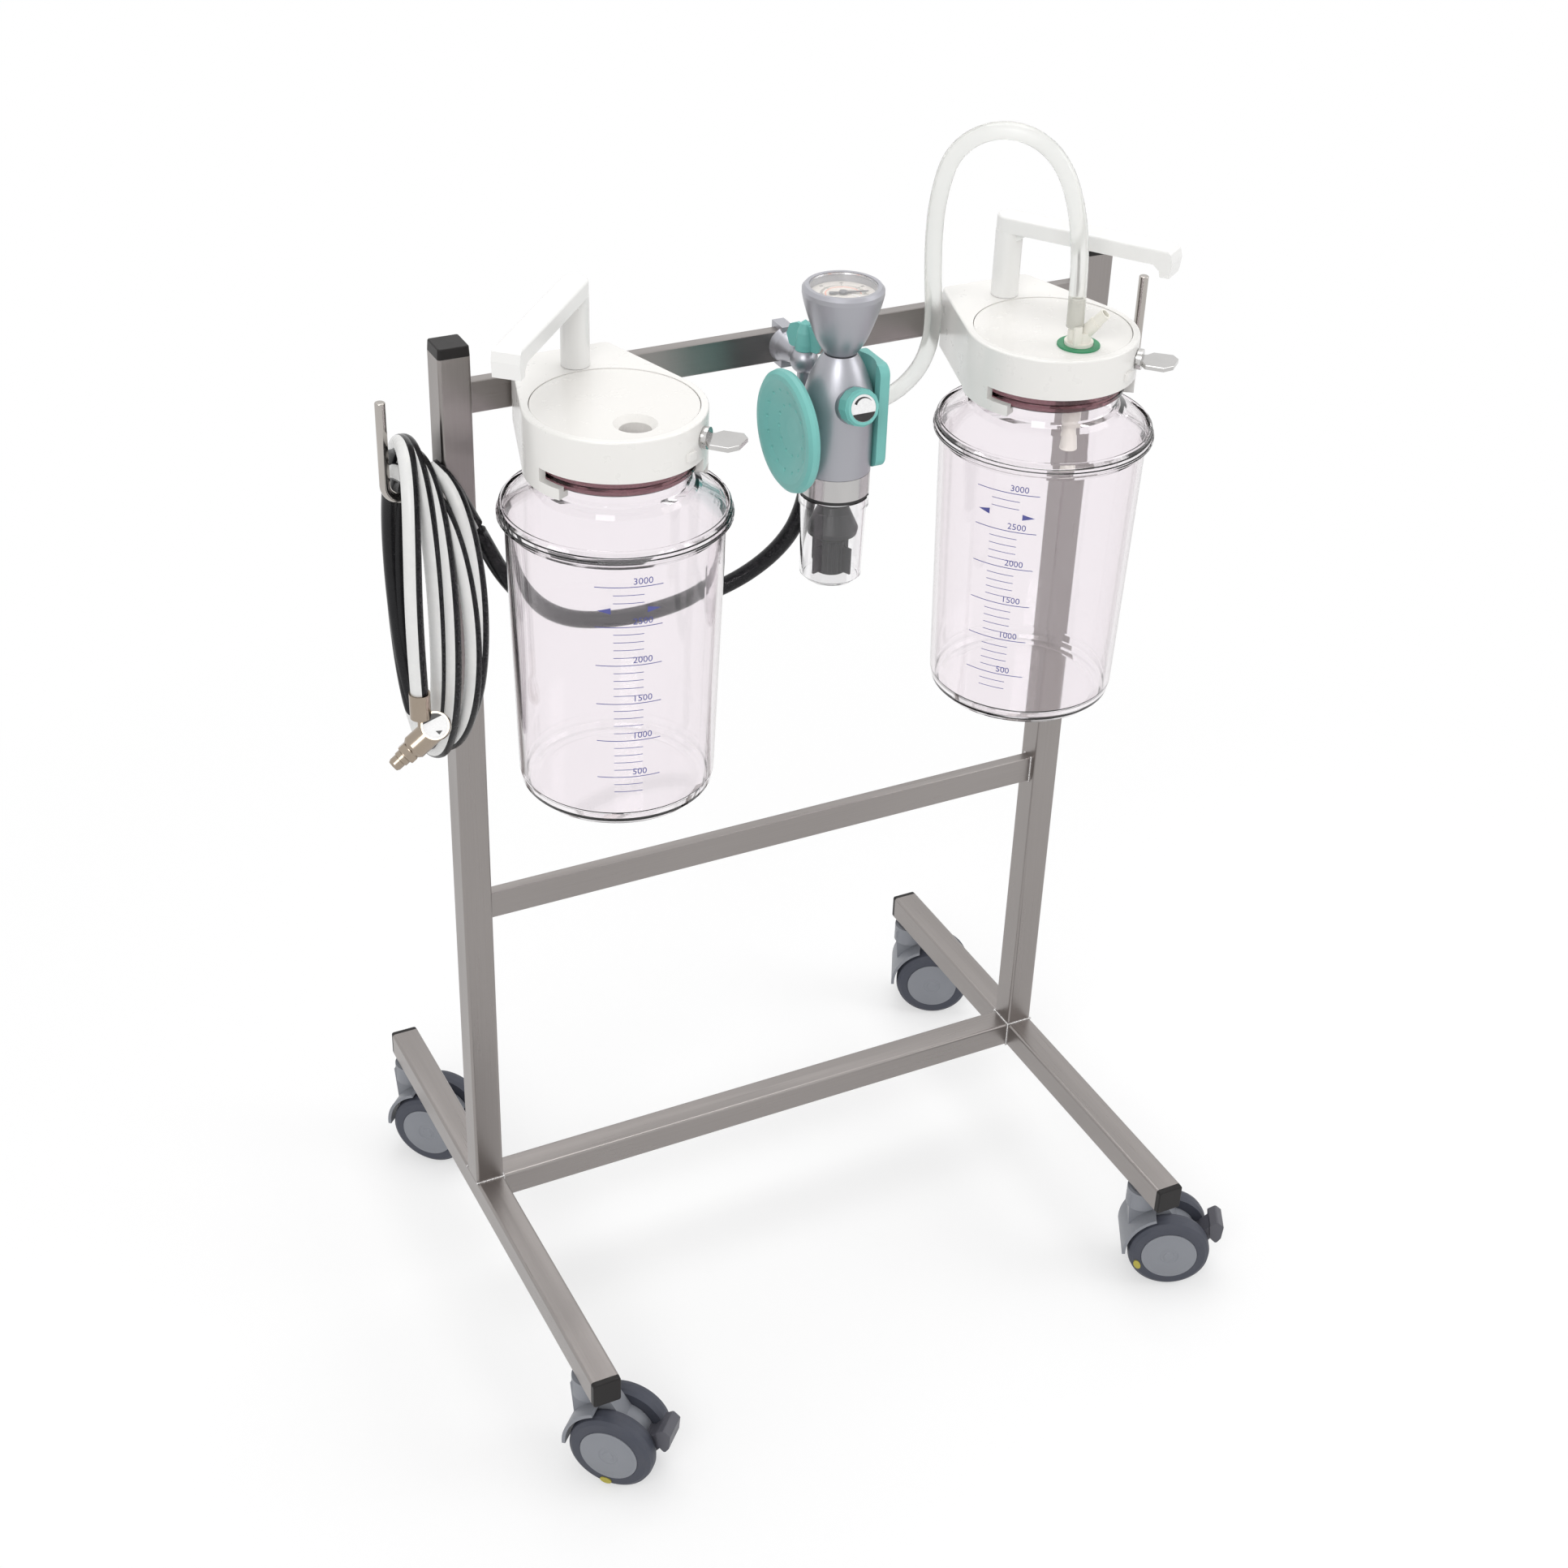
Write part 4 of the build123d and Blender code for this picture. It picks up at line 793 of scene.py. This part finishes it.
for caster, place in casterPlaces.items():
    for side, label in ((1, "near"), (-1, "far")):
        mesh, rows, segments = bmesh.new(), [], wheelCover["segments"]
        for radius, out in wheelCover["profile"]:
            count = segments if radius else 1
            rows.append([mesh.verts.new(coverPoint(place, side, radius, n * 360 / segments, out))
                         for n in range(count)])
        for one, two in zip(rows, rows[1:]):
            for n in range(segments):
                a, b = one[n % len(one)], one[(n + 1) % len(one)]
                c, d = two[(n + 1) % len(two)], two[n % len(two)]
                mesh.faces.new([v for k, v in enumerate((a, b, c, d)) if v not in (a, b, c, d)[:k]])
        closeMesh(mesh, f"{caster}_{label}_cover", "casterGrey", f"{caster}_{label}_wheel", True)
    if caster in brakeDot["spin"]:
        reach, spin, count = brakeDot["reach"], brakeDot["spin"][caster], brakeDot["segments"]
        angles = [2 * math.pi * n / count for n in range(count)]
        outline = [(reach + brakeDot["radius"] * math.cos(a),
                    spin + math.degrees(brakeDot["long"] * math.sin(a) / reach)) for a in angles]
        mesh = bmesh.new()
        raisedPlate(mesh, lambda radius, turn, out: coverPoint(place, 1, radius, turn, out), outline,
                    brakeDot["low"], brakeDot["high"])
        closeMesh(mesh, f"{caster}_dot", "dotYellow", f"{caster}_near_wheel")
print("caster covers made")


# Studio: paper floor that shows its shadow near the stand and goes to white further out
studio = {"floor": 6.0, "below": 0.0005, "paper": (0.93, 0.93, 0.93), "shown": 0.30, "fade": 0.55, "ambient": 0.62}


def makeFloor(setup):
    data = bpy.data.meshes.new("floor")
    half, z = setup["floor"], -setup["below"]
    data.from_pydata([(-half, -half, z), (half, -half, z), (half, half, z), (-half, half, z)], [], [(0, 1, 2, 3)])
    floor = bpy.data.objects.new("floor", data)
    scene.collection.objects.link(floor)
    paint = Paint("paper_floor")
    paper = paint.surface({"Base Color": setup["paper"], "Roughness": 0.9, "Specular IOR Level": 0.1})
    camera, glossy, through = (paint.node("ShaderNodeLightPath", out=n) for n in (0, 3, 6))
    seen = camera + glossy + through
    bright = paint.node("ShaderNodeEmission", {}, {"Color": (1, 1, 1, 1), "Strength": 1.0})
    far = paint.node("ShaderNodeVectorMath", {"operation": "LENGTH"}, {0: paint.place()}, out=1)
    fade = far * setup["fade"] + setup["shown"]
    away = fade.calc("MINIMUM", fade, 1.0)
    share = seen.calc("MINIMUM", seen, 1.0) * away
    data.materials.append(paint.finish(paint.node("ShaderNodeMixShader", {}, {0: share, 1: paper, 2: bright})))


def makeWorld(setup):
    world = bpy.data.worlds.new("studio")
    world.use_nodes = True
    scene.world = world
    tree = world.node_tree
    tree.nodes.clear()
    out, background = tree.nodes.new("ShaderNodeOutputWorld"), tree.nodes.new("ShaderNodeBackground")
    path, most = tree.nodes.new("ShaderNodeLightPath"), tree.nodes.new("ShaderNodeMath")
    also, mix = tree.nodes.new("ShaderNodeMath"), tree.nodes.new("ShaderNodeMix")
    most.operation = also.operation = "MAXIMUM"
    tree.links.new(path.outputs["Is Camera Ray"], most.inputs[0])
    tree.links.new(path.outputs["Is Glossy Ray"], most.inputs[1])
    tree.links.new(most.outputs[0], also.inputs[0])
    tree.links.new(path.outputs["Is Transmission Ray"], also.inputs[1])
    mix.data_type = "FLOAT"
    mix.inputs[2].default_value, mix.inputs[3].default_value = setup["ambient"], 1.0
    tree.links.new(also.outputs[0], mix.inputs[0])
    tree.links.new(mix.outputs[0], background.inputs["Strength"])
    background.inputs["Color"].default_value = (1, 1, 1, 1)
    tree.links.new(background.outputs[0], out.inputs[0])


def softLight(name, place, aim, size, power):
    data = bpy.data.lights.new(name, "AREA")
    data.shape, data.size, data.energy = "DISK", size, power
    light = bpy.data.objects.new(name, data)
    scene.collection.objects.link(light)
    light.location = place
    light.rotation_euler = (Vector(aim) - Vector(place)).to_track_quat("-Z", "Y").to_euler()


makeFloor(studio)
makeWorld(studio)
for lamp in (("key", (-2.2, -2.6, 3.2), (0, 0, 0.5), 2.2, 62),
             ("fill", (2.8, -1.6, 2.2), (0, 0, 0.5), 2.0, 26),
             ("top", (0.3, 0.8, 3.4), (0, 0, 0.6), 2.4, 34)):
    softLight(*lamp)
scene.view_settings.view_transform = "Standard"
print("studio lit")
